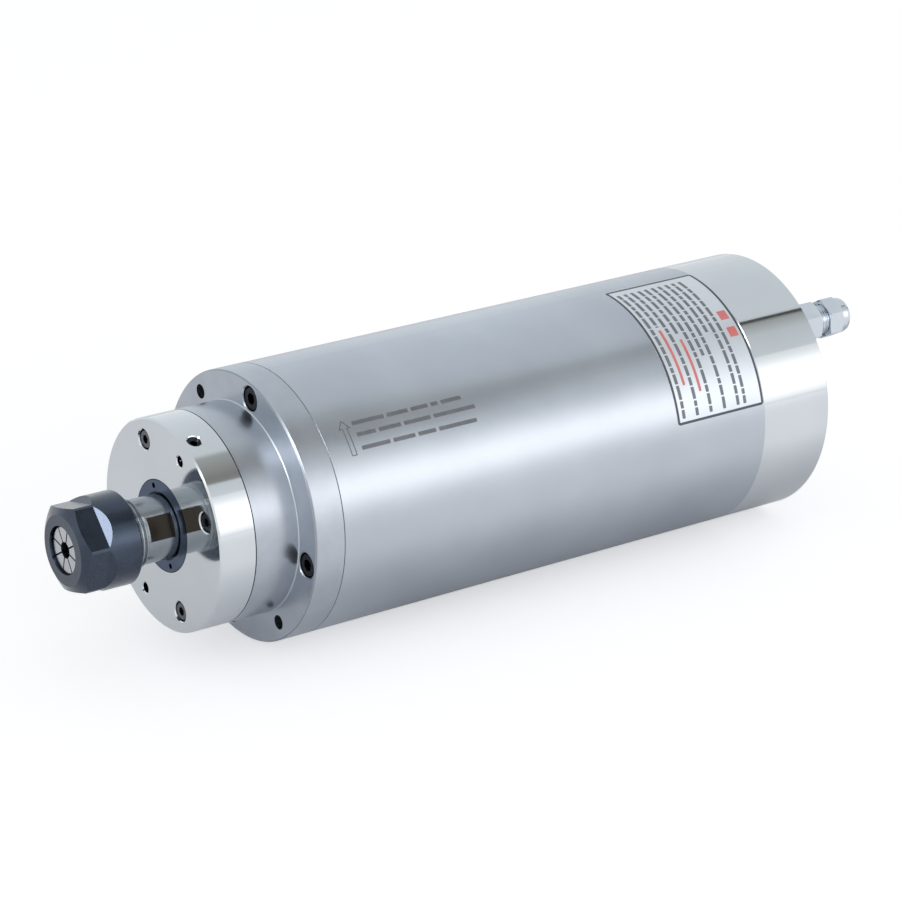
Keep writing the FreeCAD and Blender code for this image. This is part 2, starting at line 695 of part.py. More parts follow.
def cut_raceway(ring, name, middle, pitch_radius):
    """Turn the balls' groove into a bearing ring."""
    before = ring.Shape.Volume
    groove = ring.newObject("PartDesign::SubtractiveTorus", f"{ring.Name}_{name}_raceway")
    groove_radius = size.ball_diameter / 2 + size.ball_gap
    groove.Radius1 = pitch_radius.value
    groove.Radius2 = groove_radius.value
    groove.setExpression("Radius1", pitch_radius.text)
    groove.setExpression("Radius2", groove_radius.text)
    groove.AttachmentSupport = (origin_feature(ring, "YZ_Plane"), [""])
    groove.MapMode = "FlatFace"
    groove.AttachmentOffset = FreeCAD.Placement(FreeCAD.Vector(0, 0, middle.value), FreeCAD.Rotation())
    groove.setExpression("AttachmentOffset.Base.z", middle.text)
    document.recompute()
    if ring.Shape.Volume >= before:
        raise RuntimeError(f"{groove.Name} cuts nothing")


def add_balls(balls, name, middle, pitch_radius, count):
    """Add one bearing's balls, evenly spaced round the axis."""
    ball = balls.newObject("PartDesign::AdditiveSphere", f"{balls.Name}_{name}_ball")
    radius = size.ball_diameter / 2
    ball.Radius = radius.value
    ball.setExpression("Radius", radius.text)
    ball.AttachmentSupport = (origin_feature(balls, "YZ_Plane"), [""])
    ball.MapMode = "FlatFace"
    ball.AttachmentOffset = FreeCAD.Placement(
        FreeCAD.Vector(pitch_radius.value, 0, middle.value), FreeCAD.Rotation())
    ball.setExpression("AttachmentOffset.Base.x", pitch_radius.text)
    ball.setExpression("AttachmentOffset.Base.z", middle.text)
    repeat(balls, f"{name}_balls", [ball], count)


def cut_ball_pockets(cage, name, middle, outer_radius, count):
    """Drill one cage's round pockets, one for each ball."""
    sketch = new_sketch(cage, f"{name}_pocket_circle", "XY_Plane", turn=ZERO)
    draw_circle(sketch, (middle, ZERO), size.ball_diameter / 2 + size.pocket_gap)
    cut = pocket(cage, f"{name}_pocket", sketch, outer_radius)
    repeat(cage, f"{name}_pockets", [cut], count)


def ball_bearing(name, nodes, start, width, bore, outside, count):
    """Add one ball bearing to the nodes of its outer ring, inner ring, cage and balls."""
    outer, inner, cage, balls = nodes
    bore_radius = bore / 2
    outside_radius = outside / 2
    inner_shoulder = bore_radius + size.ring_thickness
    outer_shoulder = outside_radius - size.ring_thickness
    pitch_radius = (bore_radius + outside_radius) / 2
    middle = start + width / 2
    cage_outside = outer_shoulder - size.cage_guide_gap
    add_ring(outer, name, start, width, outer_shoulder, outside_radius)
    cut_raceway(outer, name, middle, pitch_radius)
    add_ring(inner, name, start, width, bore_radius, inner_shoulder)
    cut_raceway(inner, name, middle, pitch_radius)
    add_ring(cage, name, start + size.cage_recess, width - size.cage_recess * 2,
             inner_shoulder + size.cage_gap, cage_outside)
    cut_ball_pockets(cage, name, middle, cage_outside, count)
    add_balls(balls, name, middle, pitch_radius, count)


def front_bearings():
    """The two front bearings and the spacers between them."""
    nodes = [new_body(f"front_bearing_{piece}") for piece in ("outer_rings", "inner_rings", "cages", "balls")]
    for name, start in (("first", bearing_start), ("second", second_bearing_start)):
        ball_bearing(name, nodes, start, size.front_bearing_width, size.front_bearing_bore,
                     size.front_bearing_outside, size.front_ball_count)
    spacer_start = bearing_start + size.front_bearing_width
    outer_radius = size.front_bearing_outside / 2
    turned_ring("front_outer_spacer", spacer_start, size.front_spacer_length,
                outer_radius - size.spacer_thickness, outer_radius)
    turned_ring("front_inner_spacer", spacer_start, size.front_spacer_length,
                shaft_seat_radius, shaft_seat_radius + size.spacer_thickness)


def rear_bearing():
    """The rear bearing."""
    nodes = [new_body(f"rear_bearing_{piece}") for piece in ("outer_ring", "inner_ring", "cage", "balls")]
    ball_bearing("rear", nodes, rear_bearing_start, size.rear_bearing_width, size.rear_bearing_bore,
                 size.rear_bearing_outside, size.rear_ball_count)


def thread_grooves(start, end, crest_radius, pitch, depth):
    """Profile points of a thread's V grooves between two places, turned as separate rings."""
    half_width = depth * size.thread_flank_angle.tangent()
    points = []
    for turn in range(round((end.value - start.value) / pitch.value)):
        middle = start + pitch * turn
        points += [
            (middle - half_width, crest_radius),
            (middle, crest_radius - depth),
            (middle + half_width, crest_radius),
        ]
    return points


def taper_radius(along):
    """Radius of the collet's long taper at a place along the axis, with the collet seated."""
    return size.collet_diameter / 2 - (along - collet_shoulder) * size.taper_angle.tangent()


def spindle_shaft():
    """Shaft with the collet taper in its nose."""
    body = new_body("spindle_shaft")
    thread_end = shaft_front + size.nose_thread_length
    neck_radius = size.neck_diameter / 2
    seat_radius = shaft_seat_radius - size.fit_gap
    shoulder_radius = inner_ring_radius - size.shaft_shoulder_step
    shoulder_end = bearing_end + size.shaft_shoulder_length
    tail_radius = rear_inner_ring_radius - size.shaft_shoulder_step
    tail_end = rear_bearing_end + size.rear_nut_length + size.tail_overhang
    rear_radius = rear_seat_radius - size.fit_gap
    taper_end = collet_front + size.collet_length + size.collet_recess
    bore_end = taper_end + size.drawbar_bore_length
    neck_start = thread_end + size.edge_break
    neck_end = cap_front + size.neck_sink
    turn_profile(body, "turning", [
        (shaft_front, taper_radius(shaft_front) + size.collet_gap),
        (shaft_front, thread_radius - size.edge_break),
        (shaft_front + size.edge_break, thread_radius),
        *thread_grooves(shaft_front + size.nose_thread_pitch, thread_end, thread_radius,
                        size.nose_thread_pitch, size.nose_thread_depth),
        (thread_end, thread_radius),
        (neck_start, neck_radius),
        (neck_end, neck_radius),
        (neck_end, seat_radius),
        (bearing_end, seat_radius),
        (bearing_end, shoulder_radius),
        (shoulder_end, shoulder_radius),
        (shoulder_end, rotor_seat_radius),
        (rotor_end + size.end_ring_length, rotor_seat_radius),
        (rotor_end + size.end_ring_length, tail_radius),
        (rear_bearing_start, tail_radius),
        (rear_bearing_start, rear_radius),
        (tail_end, rear_radius),
        (tail_end, ZERO),
        (bore_end, ZERO),
        (bore_end, size.drawbar_bore / 2),
        (taper_end, size.drawbar_bore / 2),
        (taper_end, taper_radius(taper_end) + size.collet_gap),
    ])
    flat = size.wrench_flat_width / 2
    outside = thread_radius + size.edge_break
    front = neck_start + size.wrench_flat_margin
    back = cap_front - size.wrench_flat_gap
    cut_flats(body, "wrench_flat", [(front, flat), (back, flat), (back, outside), (front, outside)],
              PAIR, size.wrench_flat_angle, size.nose_thread_diameter)


def collet():
    """Spring collet, slotted from both ends by turns."""
    body = new_body("collet")
    front = collet_front
    back = front + size.collet_length
    lip_radius = size.collet_lip_diameter / 2
    groove_radius = size.collet_groove_diameter / 2
    bore_radius = size.collet_bore / 2
    cone_start = front + size.collet_cone_start
    turn_profile(body, "turning", [
        (front, bore_radius),
        (front, lip_radius - size.hole_break),
        (front + size.hole_break, lip_radius),
        (front + size.collet_lip_length, lip_radius),
        (front + size.collet_lip_length, groove_radius),
        (cone_start, groove_radius),
        (cone_start, nut_cone_radius(cone_start)),
        (front + size.collet_cone_end, size.collet_diameter / 2),
        (back, taper_radius(back)),
        (back, bore_radius),
    ])
    slot_length = size.collet_length - size.collet_slot_stop
    half_step = Length.of(180) / size.collet_slot_count
    runs = (("front_slot", front, size.collet_slot_angle),
            ("rear_slot", front + size.collet_slot_stop, size.collet_slot_angle + half_step))
    for name, start, angle in runs:
        sketch = new_sketch(body, f"{name}_outline", "XZ_Plane", turn=angle)
        outside = size.collet_diameter / 2 + size.edge_break
        draw_polygon(sketch, [(start, ZERO), (start + slot_length, ZERO),
                              (start + slot_length, outside), (start, outside)])
        cut = pocket(body, name, sketch, size.collet_slot_width, both_ways=True)
        repeat(body, f"{name}s", [cut], size.collet_slot_count)


def nut_cone_radius(along):
    """Radius of the collet's front cone at a place along the axis."""
    return size.collet_diameter / 2 - (collet_shoulder - along) * size.nut_cone_angle.tangent()


def collet_nut():
    """Clamping nut, with an extraction lip bored off centre."""
    body = new_body("collet_nut")
    back = nut_front + size.nut_length
    radius = size.nut_diameter / 2
    mouth_radius = size.nut_mouth_diameter / 2
    lip_radius = size.nut_lip_bore / 2
    bore_radius = thread_radius + size.running_gap
    lip_start = collet_front + size.collet_lip_length + size.running_gap * 2
    lip_end = collet_front + size.collet_cone_start - size.running_gap * 2
    shoulder = shaft_front - size.nut_shoulder_gap
    turn_profile(body, "turning", [
        (nut_front, mouth_radius),
        (nut_front, size.nut_nose_diameter / 2),
        (nut_front + size.nut_chamfer_length, radius),
        (back - size.edge_break, radius),
        (back, radius - size.edge_break),
        (back, bore_radius),
        (shoulder, bore_radius),
        (shoulder, nut_cone_radius(shoulder) + size.collet_gap * 2),
        (lip_end, nut_cone_radius(lip_end) + size.collet_gap * 2),
        (lip_end, lip_radius),
        (lip_start, lip_radius),
        (lip_start, mouth_radius),
    ])
    drill(body, "lip_bore", nut_front, (size.nut_lip_offset, ZERO), size.nut_mouth_diameter,
          lip_end - nut_front)
    flat = size.nut_flat_width / 2
    front = nut_front - size.edge_break
    flat_end = nut_front + size.nut_flat_length
    slope = size.nut_flat_runout / (radius - flat)
    outside = radius + size.edge_break
    cut_flats(body, "flat", [(front, flat), (flat_end, flat),
                             (flat_end + slope * (outside - flat), outside), (front, outside)],
              SIX, size.nut_flat_angle, size.nut_diameter)


def body_tube():
    """Outer tube of the body."""
    body = new_body("body_tube")
    bore_radius = sleeve_radius + size.fit_gap
    turn_profile(body, "turning", [
        (tube_start, bore_radius),
        (tube_start, body_radius - size.joint_break),
        (tube_start + size.joint_break, body_radius),
        (tube_end - size.joint_break, body_radius),
        (tube_end, body_radius - size.joint_break),
        (tube_end, bore_radius),
    ])


def sector(inner_radius, outer_radius, middle, half_angle, steps):
    """Return the corners of a ring sector whose outer side stands clear of outer_radius."""
    clear_radius = outer_radius / math.cos(math.radians(half_angle.value / steps))
    corners = []
    for index in range(-steps, steps + 1):
        corners.append(polar(inner_radius, middle + half_angle * (index / steps)))
    for index in range(steps, -steps - 1, -1):
        corners.append(polar(clear_radius, middle + half_angle * (index / steps)))
    return corners


def jacket_sleeve():
    """Sleeve that carries the stator. Water runs to and fro in its lengthwise channels."""
    body = new_body("jacket_sleeve")
    groove_radius = sleeve_radius - size.seal_section + size.fit_gap
    groove_width = size.seal_section + size.seal_groove_play
    front_groove = tube_start + size.front_seal_place
    rear_groove = tube_end - size.rear_seal_place
    turn_profile(body, "turning", [
        (tube_start, sleeve_bore_radius),
        (tube_start, sleeve_radius),
        (front_groove, sleeve_radius),
        (front_groove, groove_radius),
        (front_groove + groove_width, groove_radius),
        (front_groove + groove_width, sleeve_radius),
        (rear_groove, sleeve_radius),
        (rear_groove, groove_radius),
        (rear_groove + groove_width, groove_radius),
        (rear_groove + groove_width, sleeve_radius),
        (tube_end, sleeve_radius),
        (tube_end, rear_bore_radius),
        (rear_housing_start, rear_bore_radius),
        (rear_housing_start, sleeve_bore_radius),
    ])
    channel_start = tube_start + size.front_land
    channel_end = tube_end - size.rear_land
    floor_radius = sleeve_radius - size.channel_depth
    half_channel = (Length.of(360) / size.channel_count - size.channel_rib_angle) / 2
    sketch = new_sketch(body, "channel_outline", "YZ_Plane", channel_start)
    draw_polygon(sketch, sector(floor_radius, sleeve_radius, size.fitting_angle, half_channel, 3))
    channel = pocket(body, "channel", sketch, channel_end - channel_start)
    repeat(body, "channels", [channel], size.channel_count)
    pitch = Length.of(360) / size.channel_count
    turns = (("front_turn", channel_start, size.fitting_angle, pitch),
             ("rear_turn", channel_end - size.channel_turn, size.fitting_angle + 90, pitch / 2))
    for name, start, middle, half_angle in turns:
        sketch = new_sketch(body, f"{name}_outline", "YZ_Plane", start)
        draw_polygon(sketch, sector(floor_radius, sleeve_radius, middle, half_angle, 6))
        passage = pocket(body, name, sketch, size.channel_turn)
        repeat(body, f"{name}s", [passage], PAIR)
    port_start = channel_end - size.channel_turn / 2
    port = drill(body, "port", port_start, polar(port_radius, size.fitting_angle),
                 size.port_hole, tube_end - port_start)
    repeat(body, "ports", [port], PAIR)
    screw_hole = size.large_screw + size.fit_gap * 2
    front_depth = size.flange_screw_length + size.large_counterbore_depth - size.flange_thickness
    front_hole = drill(body, "front_tapping", tube_start, polar(joint_radius, size.flange_screw_angle),
                       screw_hole, front_depth + size.tapped_hole_play)
    repeat(body, "front_tappings", [front_hole], size.screw_count)
    rear_depth = size.rear_screw_length + size.large_counterbore_depth - size.rear_cap_length
    rear_depth = rear_depth + size.tapped_hole_play
    rear_hole = drill(body, "rear_tapping", tube_end - rear_depth, polar(joint_radius, size.rear_screw_angle),
                      screw_hole, rear_depth)
    repeat(body, "rear_tappings", [rear_hole], size.screw_count)


def sleeve_seal_rings():
    """Two seal rings that close the water jacket at its ends."""
    body = new_body("sleeve_seal_rings")
    inner_radius = sleeve_radius - size.seal_section + size.fit_gap * 2
    play = size.seal_groove_play / 2
    add_ring(body, "front", tube_start + size.front_seal_place + play, size.seal_section,
             inner_radius, sleeve_radius)
    add_ring(body, "rear", tube_end - size.rear_seal_place + play, size.seal_section,
             inner_radius, sleeve_radius)


def slot_half_width(radius):
    """Half the width of a winding slot at a radius, with teeth of one width between the slots."""
    half_pitch = Length.of(180) / size.slot_count
    return radius * half_pitch.tangent() - size.tooth_width / 2


def stator_core():
    """Laminated core with parallel teeth between its winding slots."""
    body = new_body("stator_core")
    bore_radius = rotor_radius + size.air_gap
    add_ring(body, "ring", rotor_start, size.stator_length, bore_radius, sleeve_bore_radius - size.fit_gap)
    mouth = size.slot_opening / 2
    side = [
        (bore_radius - size.edge_break, mouth),
        (slot_throat_radius, mouth),
        (slot_throat_radius, slot_half_width(slot_throat_radius)),
        (slot_bottom_radius, slot_half_width(slot_bottom_radius)),
    ]
    sketch = new_sketch(body, "slot_outline", "YZ_Plane", rotor_start)
    draw_polygon(sketch, side + [(radius, -half_width) for radius, half_width in reversed(side)])
    slot = pocket(body, "slot", sketch, size.stator_length)
    repeat(body, "slots", [slot], size.slot_count)


def stator_windings():
    """Both end windings, joined by the coils in the slots."""
    body = new_body("stator_windings")
    inner_radius = rotor_radius + size.winding_inner_gap
    for name, start in (("front", rotor_start - size.winding_length), ("rear", rotor_end)):
        add_ring(body, name, start, size.winding_length, inner_radius,
                 sleeve_bore_radius - size.winding_outer_gap)
    side = []
    for radius in (slot_throat_radius + size.slot_liner, slot_bottom_radius - size.slot_liner):
        side.append((radius, slot_half_width(radius) - size.slot_liner))
    sketch = new_sketch(body, "coil_outline", "YZ_Plane", rotor_start - size.slot_liner)
    draw_polygon(sketch, side + [(radius, -half_width) for radius, half_width in reversed(side)])
    coil = pad(body, "coil", sketch, size.stator_length + size.slot_liner * 2)
    repeat(body, "coils", [coil], size.slot_count)


def rotor():
    """Laminated rotor core, and the cage cast through it: two end rings joined by bars."""
    core_bore = rotor_seat_radius + size.fit_gap
    bar_radius = size.bar_diameter / 2
    centre = ((core_bore + rotor_radius) / 2, ZERO)
    core = turned_ring("rotor_core", rotor_start, size.stator_length, core_bore, rotor_radius)
    hole = drill(core, "bar_hole", rotor_start, centre, size.bar_diameter + size.fit_gap * 2,
                 size.stator_length)
    repeat(core, "bar_holes", [hole], size.bar_count)
    cage = new_body("rotor_cage")
    for name, start in (("front", rotor_start - size.end_ring_length), ("rear", rotor_end)):
        add_ring(cage, name, start, size.end_ring_length, core_bore, rotor_radius - size.end_ring_step)
    sketch = new_sketch(cage, "bar_circle", "YZ_Plane", rotor_start - bar_radius)
    draw_circle(sketch, centre, bar_radius)
    bar = pad(cage, "bar", sketch, size.stator_length + size.bar_diameter)
    repeat(cage, "bars", [bar], size.bar_count)


def rear_housing():
    """Carrier of the rear bearing, held between the sleeve's step and the rear cap."""
    body = new_body("rear_housing")
    outer_radius = rear_bore_radius - size.fit_gap
    seat_radius = size.rear_bearing_outside / 2 + size.fit_gap
    seat_start = rear_housing_start + size.rear_housing_lip
    turn_profile(body, "turning", [
        (rear_housing_start, rear_outer_ring_radius),
        (rear_housing_start, outer_radius),
        (tube_end, outer_radius),
        (tube_end, seat_radius),
        (seat_start, seat_radius),
        (seat_start, rear_outer_ring_radius),
    ])
    middle_radius = (seat_radius + outer_radius) / 2
    drill(body, "lead_hole", rear_housing_start, polar(middle_radius, size.lead_hole_angle),
          size.lead_hole_diameter, size.rear_housing_length)


def rear_small_rings():
    """Preload spring in front of the rear bearing, and the lock nut behind it."""
    seat_start = rear_housing_start + size.rear_housing_lip
    turned_ring("preload_spring", seat_start, size.spring_thickness,
                rear_outer_ring_radius, size.rear_bearing_outside / 2)
    turned_ring("rear_lock_nut", rear_bearing_end, size.rear_nut_length, rear_seat_radius,
                rear_inner_ring_radius + size.rear_nut_step)


def rear_cap():
    """Cup that closes the body and carries the water ports and the connector."""
    body = new_body("rear_cap")
    cavity_radius = body_radius - size.rear_cap_wall
    floor_start = rear_end - size.rear_cap_floor
    hole_radius = size.connector_outside / 2 + size.running_gap
    turn_profile(body, "turning", [
        (tube_end, cavity_radius),
        (tube_end, body_radius - size.joint_break),
        (tube_end + size.joint_break, body_radius),
        (rear_end - size.edge_break, body_radius),
        (rear_end, body_radius - size.edge_break),
        (rear_end, hole_radius),
        (floor_start, hole_radius),
        (floor_start, cavity_radius),
    ])
    counterbored_holes(body, rear_end, -1, size.rear_screw_angle, joint_radius, size.large_counterbore,
                       size.large_counterbore_depth, size.large_hole, size.rear_cap_length)
    centre = polar(fitting_radius, size.fitting_angle)
    way = drill(body, "waterway", tube_end, centre, size.water_bore, size.rear_cap_length)
    stem_depth = size.fitting_stem_length + size.tapped_hole_play
    port = drill(body, "port", rear_end - stem_depth, centre,
                 size.fitting_stem_diameter + size.fit_gap * 2, stem_depth)
    sketch = new_sketch(body, "slot_outline", "XZ_Plane", turn=size.fitting_angle)
    inner = fitting_radius - size.water_bore / 2
    outer = port_radius + size.port_hole / 2
    draw_polygon(sketch, [(tube_end, inner), (tube_end + size.port_slot_depth, inner),
                          (tube_end + size.port_slot_depth, outer), (tube_end, outer)])
    slot = pocket(body, "slot", sketch, size.port_hole, both_ways=True)
    repeat(body, "ports", [way, port, slot], PAIR)
    sketch = new_sketch(body, "plate_tapping_circles", "YZ_Plane", floor_start)
    for corner in four_corners(size.plate_screw_spread):
        draw_circle(sketch, corner, size.plate_screw / 2 + size.fit_gap)
    pocket(body, "plate_tappings", sketch, size.rear_cap_floor)


def water_fitting(prefix, angle):
    """Compression fitting for a soft tube: a body, a ferrule and a union nut."""
    across, up = polar(fitting_radius, angle)
    seat = rear_end + size.washer_thickness
    hex_end = seat + size.fitting_hex_length
    thread_end = hex_end + size.union_thread_length
    thread_outside = size.union_thread / 2
    socket_radius = size.tube_socket / 2
    corner_radius = size.fitting_flats / 2 / math.cos(math.pi / 6)
    bevel = corner_radius - size.fitting_flats / 2
    body = new_body(f"{prefix}_body")
    turn_profile(body, "turning", [
        (rear_end - size.fitting_stem_length, size.water_bore / 2),
        (rear_end - size.fitting_stem_length, size.fitting_stem_diameter / 2),
        (seat, size.fitting_stem_diameter / 2),
        (seat, size.fitting_flats / 2),
        (seat + bevel / 2, corner_radius),
        (hex_end - bevel / 2, corner_radius),
        (hex_end, size.fitting_flats / 2),
        (hex_end, thread_outside),
        *thread_grooves(hex_end + size.union_thread_pitch, thread_end, thread_outside,
                        size.union_thread_pitch, size.union_thread_depth),
        (thread_end, thread_outside),
        (thread_end, socket_radius),
        (seat + size.tube_stop, socket_radius),
        (seat + size.tube_stop, size.water_bore / 2),
    ])
    flat = size.fitting_flats / 2
    outside = corner_radius + size.edge_break
    cut_flats(body, "flat", [(seat - size.running_gap, flat), (hex_end + size.running_gap, flat),
                             (hex_end + size.running_gap, outside), (seat - size.running_gap, outside)],
              SIX, ZERO, size.fitting_flats)
    place_body(body, across, up)
    nut_start = hex_end + size.union_nut_gap
    nut_end = nut_start + size.union_nut_length
    nut_hex_end = nut_start + size.union_nut_hex
    ferrule_start = thread_end + size.running_gap
    ferrule_end = ferrule_start + size.ferrule_length
    ferrule_radius = size.ferrule_diameter / 2
    ferrule_tip = socket_radius + size.edge_break / 2
    ferrule = new_body(f"{prefix}_ferrule")
    turn_profile(ferrule, "turning", [
        (ferrule_start, socket_radius),
        (ferrule_start, ferrule_radius),
        (ferrule_end - size.ferrule_length / 2, ferrule_radius),
        (ferrule_end, ferrule_tip),
        (ferrule_end, socket_radius),
    ])
    place_body(ferrule, across, up)
    nut = new_body(f"{prefix}_nut")
    bore_radius = thread_outside + size.running_gap
    seat_place = ferrule_end - size.ferrule_length / 2 + size.running_gap
    rounding = [
        (nut_end - size.union_nut_round * (1 - math.cos(turn)),
         size.union_nut_end / 2 - size.union_nut_round * (1 - math.sin(turn)))
        for turn in (math.pi / 2, math.pi / 3, math.pi / 6, 0)
    ]
    turn_profile(nut, "turning", [
        (nut_start, bore_radius),
        (nut_start, flat),
        (nut_start + bevel / 2, corner_radius),
        (nut_hex_end - bevel, corner_radius),
        (nut_hex_end, flat),
        (nut_hex_end, size.union_nut_end / 2),
        *rounding,
        (nut_end, socket_radius),
        (ferrule_end + size.running_gap, socket_radius),
        (ferrule_end + size.running_gap, ferrule_tip + size.running_gap),
        (seat_place, bore_radius),
    ])
    cut_flats(nut, "flat", [(nut_start - size.running_gap, flat), (nut_hex_end, flat),
                            (nut_hex_end, outside), (nut_start - size.running_gap, outside)],
              SIX, ZERO, size.fitting_flats)
    place_body(nut, across, up)


def fitting_washers():
    """Sealing washers under both water fittings."""
    body = new_body("fitting_washers")
    end = rear_end + size.washer_thickness
    bore_radius = size.fitting_stem_diameter / 2 + size.fit_gap
    washer = turn_profile(body, "washer", [
        (rear_end, bore_radius),
        (rear_end, size.washer_diameter / 2),
        (end, size.washer_diameter / 2),
        (end, bore_radius),
    ], fitting_radius)
    repeat(body, "washers", [washer], PAIR)
    place_body(body, turn=size.fitting_angle - 90)


def four_corners(spread):
    """Return the four points at one spread from the axis, both ways."""
    return [(spread * right, spread * up) for right, up in ((1, 1), (-1, 1), (-1, -1), (1, -1))]


def connector_plate_piece(label, start, thickness, hole_diameter):
    """Square plate with four screw holes and a round hole in the middle."""
    body = new_body(label)
    sketch = new_sketch(body, "outline", "YZ_Plane", start)
    draw_polygon(sketch, four_corners(size.connector_plate / 2))
    draw_circle(sketch, (ZERO, ZERO), hole_diameter / 2)
    for corner in four_corners(size.plate_screw_spread):
        draw_circle(sketch, corner, size.plate_screw / 2 + size.running_gap)
    pad(body, "plate", sketch, thickness)
    return body


def connector():
    """Power connector on the rear cap: shell, insert, pins, gasket and screws."""
    plate_start = rear_end + size.gasket_thickness
    plate_end = plate_start + size.connector_plate_thickness
    shell_end = rear_end + size.connector_reach
    tail_start = rear_end - size.rear_cap_floor - size.connector_tail
    outer_radius = size.connector_outside / 2
    inner_radius = size.connector_inside / 2
    connector_plate_piece("connector_gasket", rear_end, size.gasket_thickness,
                          size.connector_outside + size.running_gap * 2)
    shell = connector_plate_piece("connector_shell", plate_start, size.connector_plate_thickness,
                                  size.connector_inside)
    turn_profile(shell, "barrel", [
        (tail_start, inner_radius),
        (tail_start, outer_radius),
        *thread_grooves(shell_end - size.connector_thread_length, shell_end - size.edge_break,
                        outer_radius, size.connector_thread_pitch, size.connector_thread_depth),
        (shell_end - size.edge_break, outer_radius),
        (shell_end, outer_radius - size.edge_break),
        (shell_end, inner_radius),
    ])
    insert_end = shell_end - size.connector_well
    insert = new_body("connector_insert")
    insert_radius = inner_radius - size.fit_gap
    turn_profile(insert, "turning", [
        (tail_start, ZERO),
        (tail_start, insert_radius),
        (insert_end, insert_radius),
        (insert_end, ZERO),
    ])
    sketch = new_sketch(insert, "pin_hole_circles", "YZ_Plane", tail_start)
    for corner in four_corners(size.pin_spread):
        draw_circle(sketch, corner, size.pin_diameter / 2 + size.fit_gap)
    pocket(insert, "pin_holes", sketch, insert_end - tail_start)
    pins = new_body("connector_pins")
    sketch = new_sketch(pins, "circles", "YZ_Plane", tail_start - size.connector_tail)
    for corner in four_corners(size.pin_spread):
        draw_circle(sketch, corner, size.pin_diameter / 2)
    pad(pins, "rods", sketch, insert_end - tail_start + size.connector_tail + size.pin_length)
    screws = new_body("connector_screws")
    sketch = new_sketch(screws, "heads_outline", "YZ_Plane", plate_end)
    for corner in four_corners(size.plate_screw_spread):
        draw_circle(sketch, corner, size.plate_head_diameter / 2)
    pad(screws, "heads", sketch, size.plate_head_height)
    sketch = new_sketch(screws, "shanks_outline", "YZ_Plane", plate_end - size.plate_screw_length)
    for corner in four_corners(size.plate_screw_spread):
        draw_circle(sketch, corner, size.plate_screw / 2)
    pad(screws, "shanks", sketch, size.plate_screw_length)


def build():
    """Build every sub-part."""
    front_housing()
    front_cap()
    screw_ring("front_cap_screws", cap_front + size.small_counterbore_depth, -1, size.small_screw,
               size.small_head_diameter, size.small_screw, size.cap_screw_length, size.small_socket,
               cap_screw_radius, size.cap_screw_angle)
    screw_ring("flange_screws", size.large_counterbore_depth, -1, size.large_screw,
               size.large_head_diameter, size.large_screw, size.flange_screw_length, size.large_socket,
               joint_radius, size.flange_screw_angle)
    air_port_plug()
    front_lock_ring()
    front_bearings()
    rear_bearing()
    spindle_shaft()
    collet()
    collet_nut()
    body_tube()
    jacket_sleeve()
    sleeve_seal_rings()
    stator_core()
    stator_windings()
    rotor()
    rear_housing()
    rear_small_rings()
    rear_cap()
    screw_ring("rear_cap_screws", rear_end - size.large_counterbore_depth, 1, size.large_screw,
               size.large_head_diameter, size.large_screw, size.rear_screw_length, size.large_socket,
               joint_radius, size.rear_screw_angle)
    water_fitting("water_inlet", size.fitting_angle)
    water_fitting("water_outlet", size.fitting_angle + 180)
    fitting_washers()
    connector()


def check_and_write():
    """Check every object, then write one file for each sub-part."""
    document.recompute()
    for item in document.Objects:
        if "Invalid" in item.State or "Error" in item.State:
            raise RuntimeError(f"{item.Name} failed: {item.State}")
    for part in parts:
        if part.Shape.isNull() or not part.Shape.isValid():
            raise RuntimeError(f"{part.Label} has no valid shape")
    os.makedirs("parts", exist_ok=True)
    for part in parts:
        part.Shape.exportStep(f"parts/{part.Label}.step")
        solids = len(part.Shape.Solids)
        print(f"{part.Label}: {solids} solids, {part.Shape.Volume:.1f} mm3")


build()
check_and_write()
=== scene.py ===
"""Looks of a water-cooled motor spindle, built round its packed construction model."""

import logging
import math
from dataclasses import dataclass, field
from enum import Enum
from typing import Any, Optional

import bmesh
import bpy
from mathutils import Matrix, Vector


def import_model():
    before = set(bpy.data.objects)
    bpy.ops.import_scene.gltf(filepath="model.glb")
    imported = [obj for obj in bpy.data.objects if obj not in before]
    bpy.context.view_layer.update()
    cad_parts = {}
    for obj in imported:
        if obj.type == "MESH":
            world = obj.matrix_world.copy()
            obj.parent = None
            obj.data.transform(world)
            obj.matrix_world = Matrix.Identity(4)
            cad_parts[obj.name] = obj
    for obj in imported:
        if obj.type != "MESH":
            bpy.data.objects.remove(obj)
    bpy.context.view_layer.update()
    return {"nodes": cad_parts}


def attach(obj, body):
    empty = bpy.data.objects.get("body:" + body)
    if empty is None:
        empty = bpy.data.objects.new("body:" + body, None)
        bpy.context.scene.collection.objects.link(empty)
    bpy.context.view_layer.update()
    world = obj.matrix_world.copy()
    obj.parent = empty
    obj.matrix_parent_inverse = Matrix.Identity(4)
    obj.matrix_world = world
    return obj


LOG = logging.getLogger("motor_spindle")

MM = 0.001
HOUSING = "housing"
BODY_RADIUS = 50 * MM

# Joints and edges that show as dark lines round the body, by their places along the axis:
# oil and dust with painted shade in a joint's groove, painted shade on the flange's edge.
CAP_JOINT_MM = -17.7
FLANGE_EDGE_MM = 0.25
BODY_JOINT_MM = 12.0
JOINT_DIRT_AND_SHADE = "#2a2c30"
SOFT_JOINT_DIRT_AND_SHADE = "#7b7f86"
SOFT_EDGE_SHADE = "#989ea6"

Point = tuple[float, float]
Stops = tuple[tuple[float, float], ...]


class Part(Enum):
    """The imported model's finishes, by the names of its material slots."""

    TURNED_STEEL = "brushed_steel"
    NICKEL = "polished_nickel"
    BLACK_OXIDE = "black_oxide"
    BLUED_RING = "blued_ring"
    GROUND_STEEL = "ground_steel"
    COLLET_STEEL = "collet_steel"
    SCREW_STEEL = "screw_steel"
    CORE_SHEETS = "core_iron"
    WINDING = "copper_winding"
    CAST_ALUMINIUM = "cast_aluminium"
    CAGE_RESIN = "cage_resin"
    SEAL_RUBBER = "seal_rubber"
    FITTING_BRASS = "nickel_brass"
    INSULATOR = "connector_insulator"
    CONTACT_BRASS = "contact_brass"


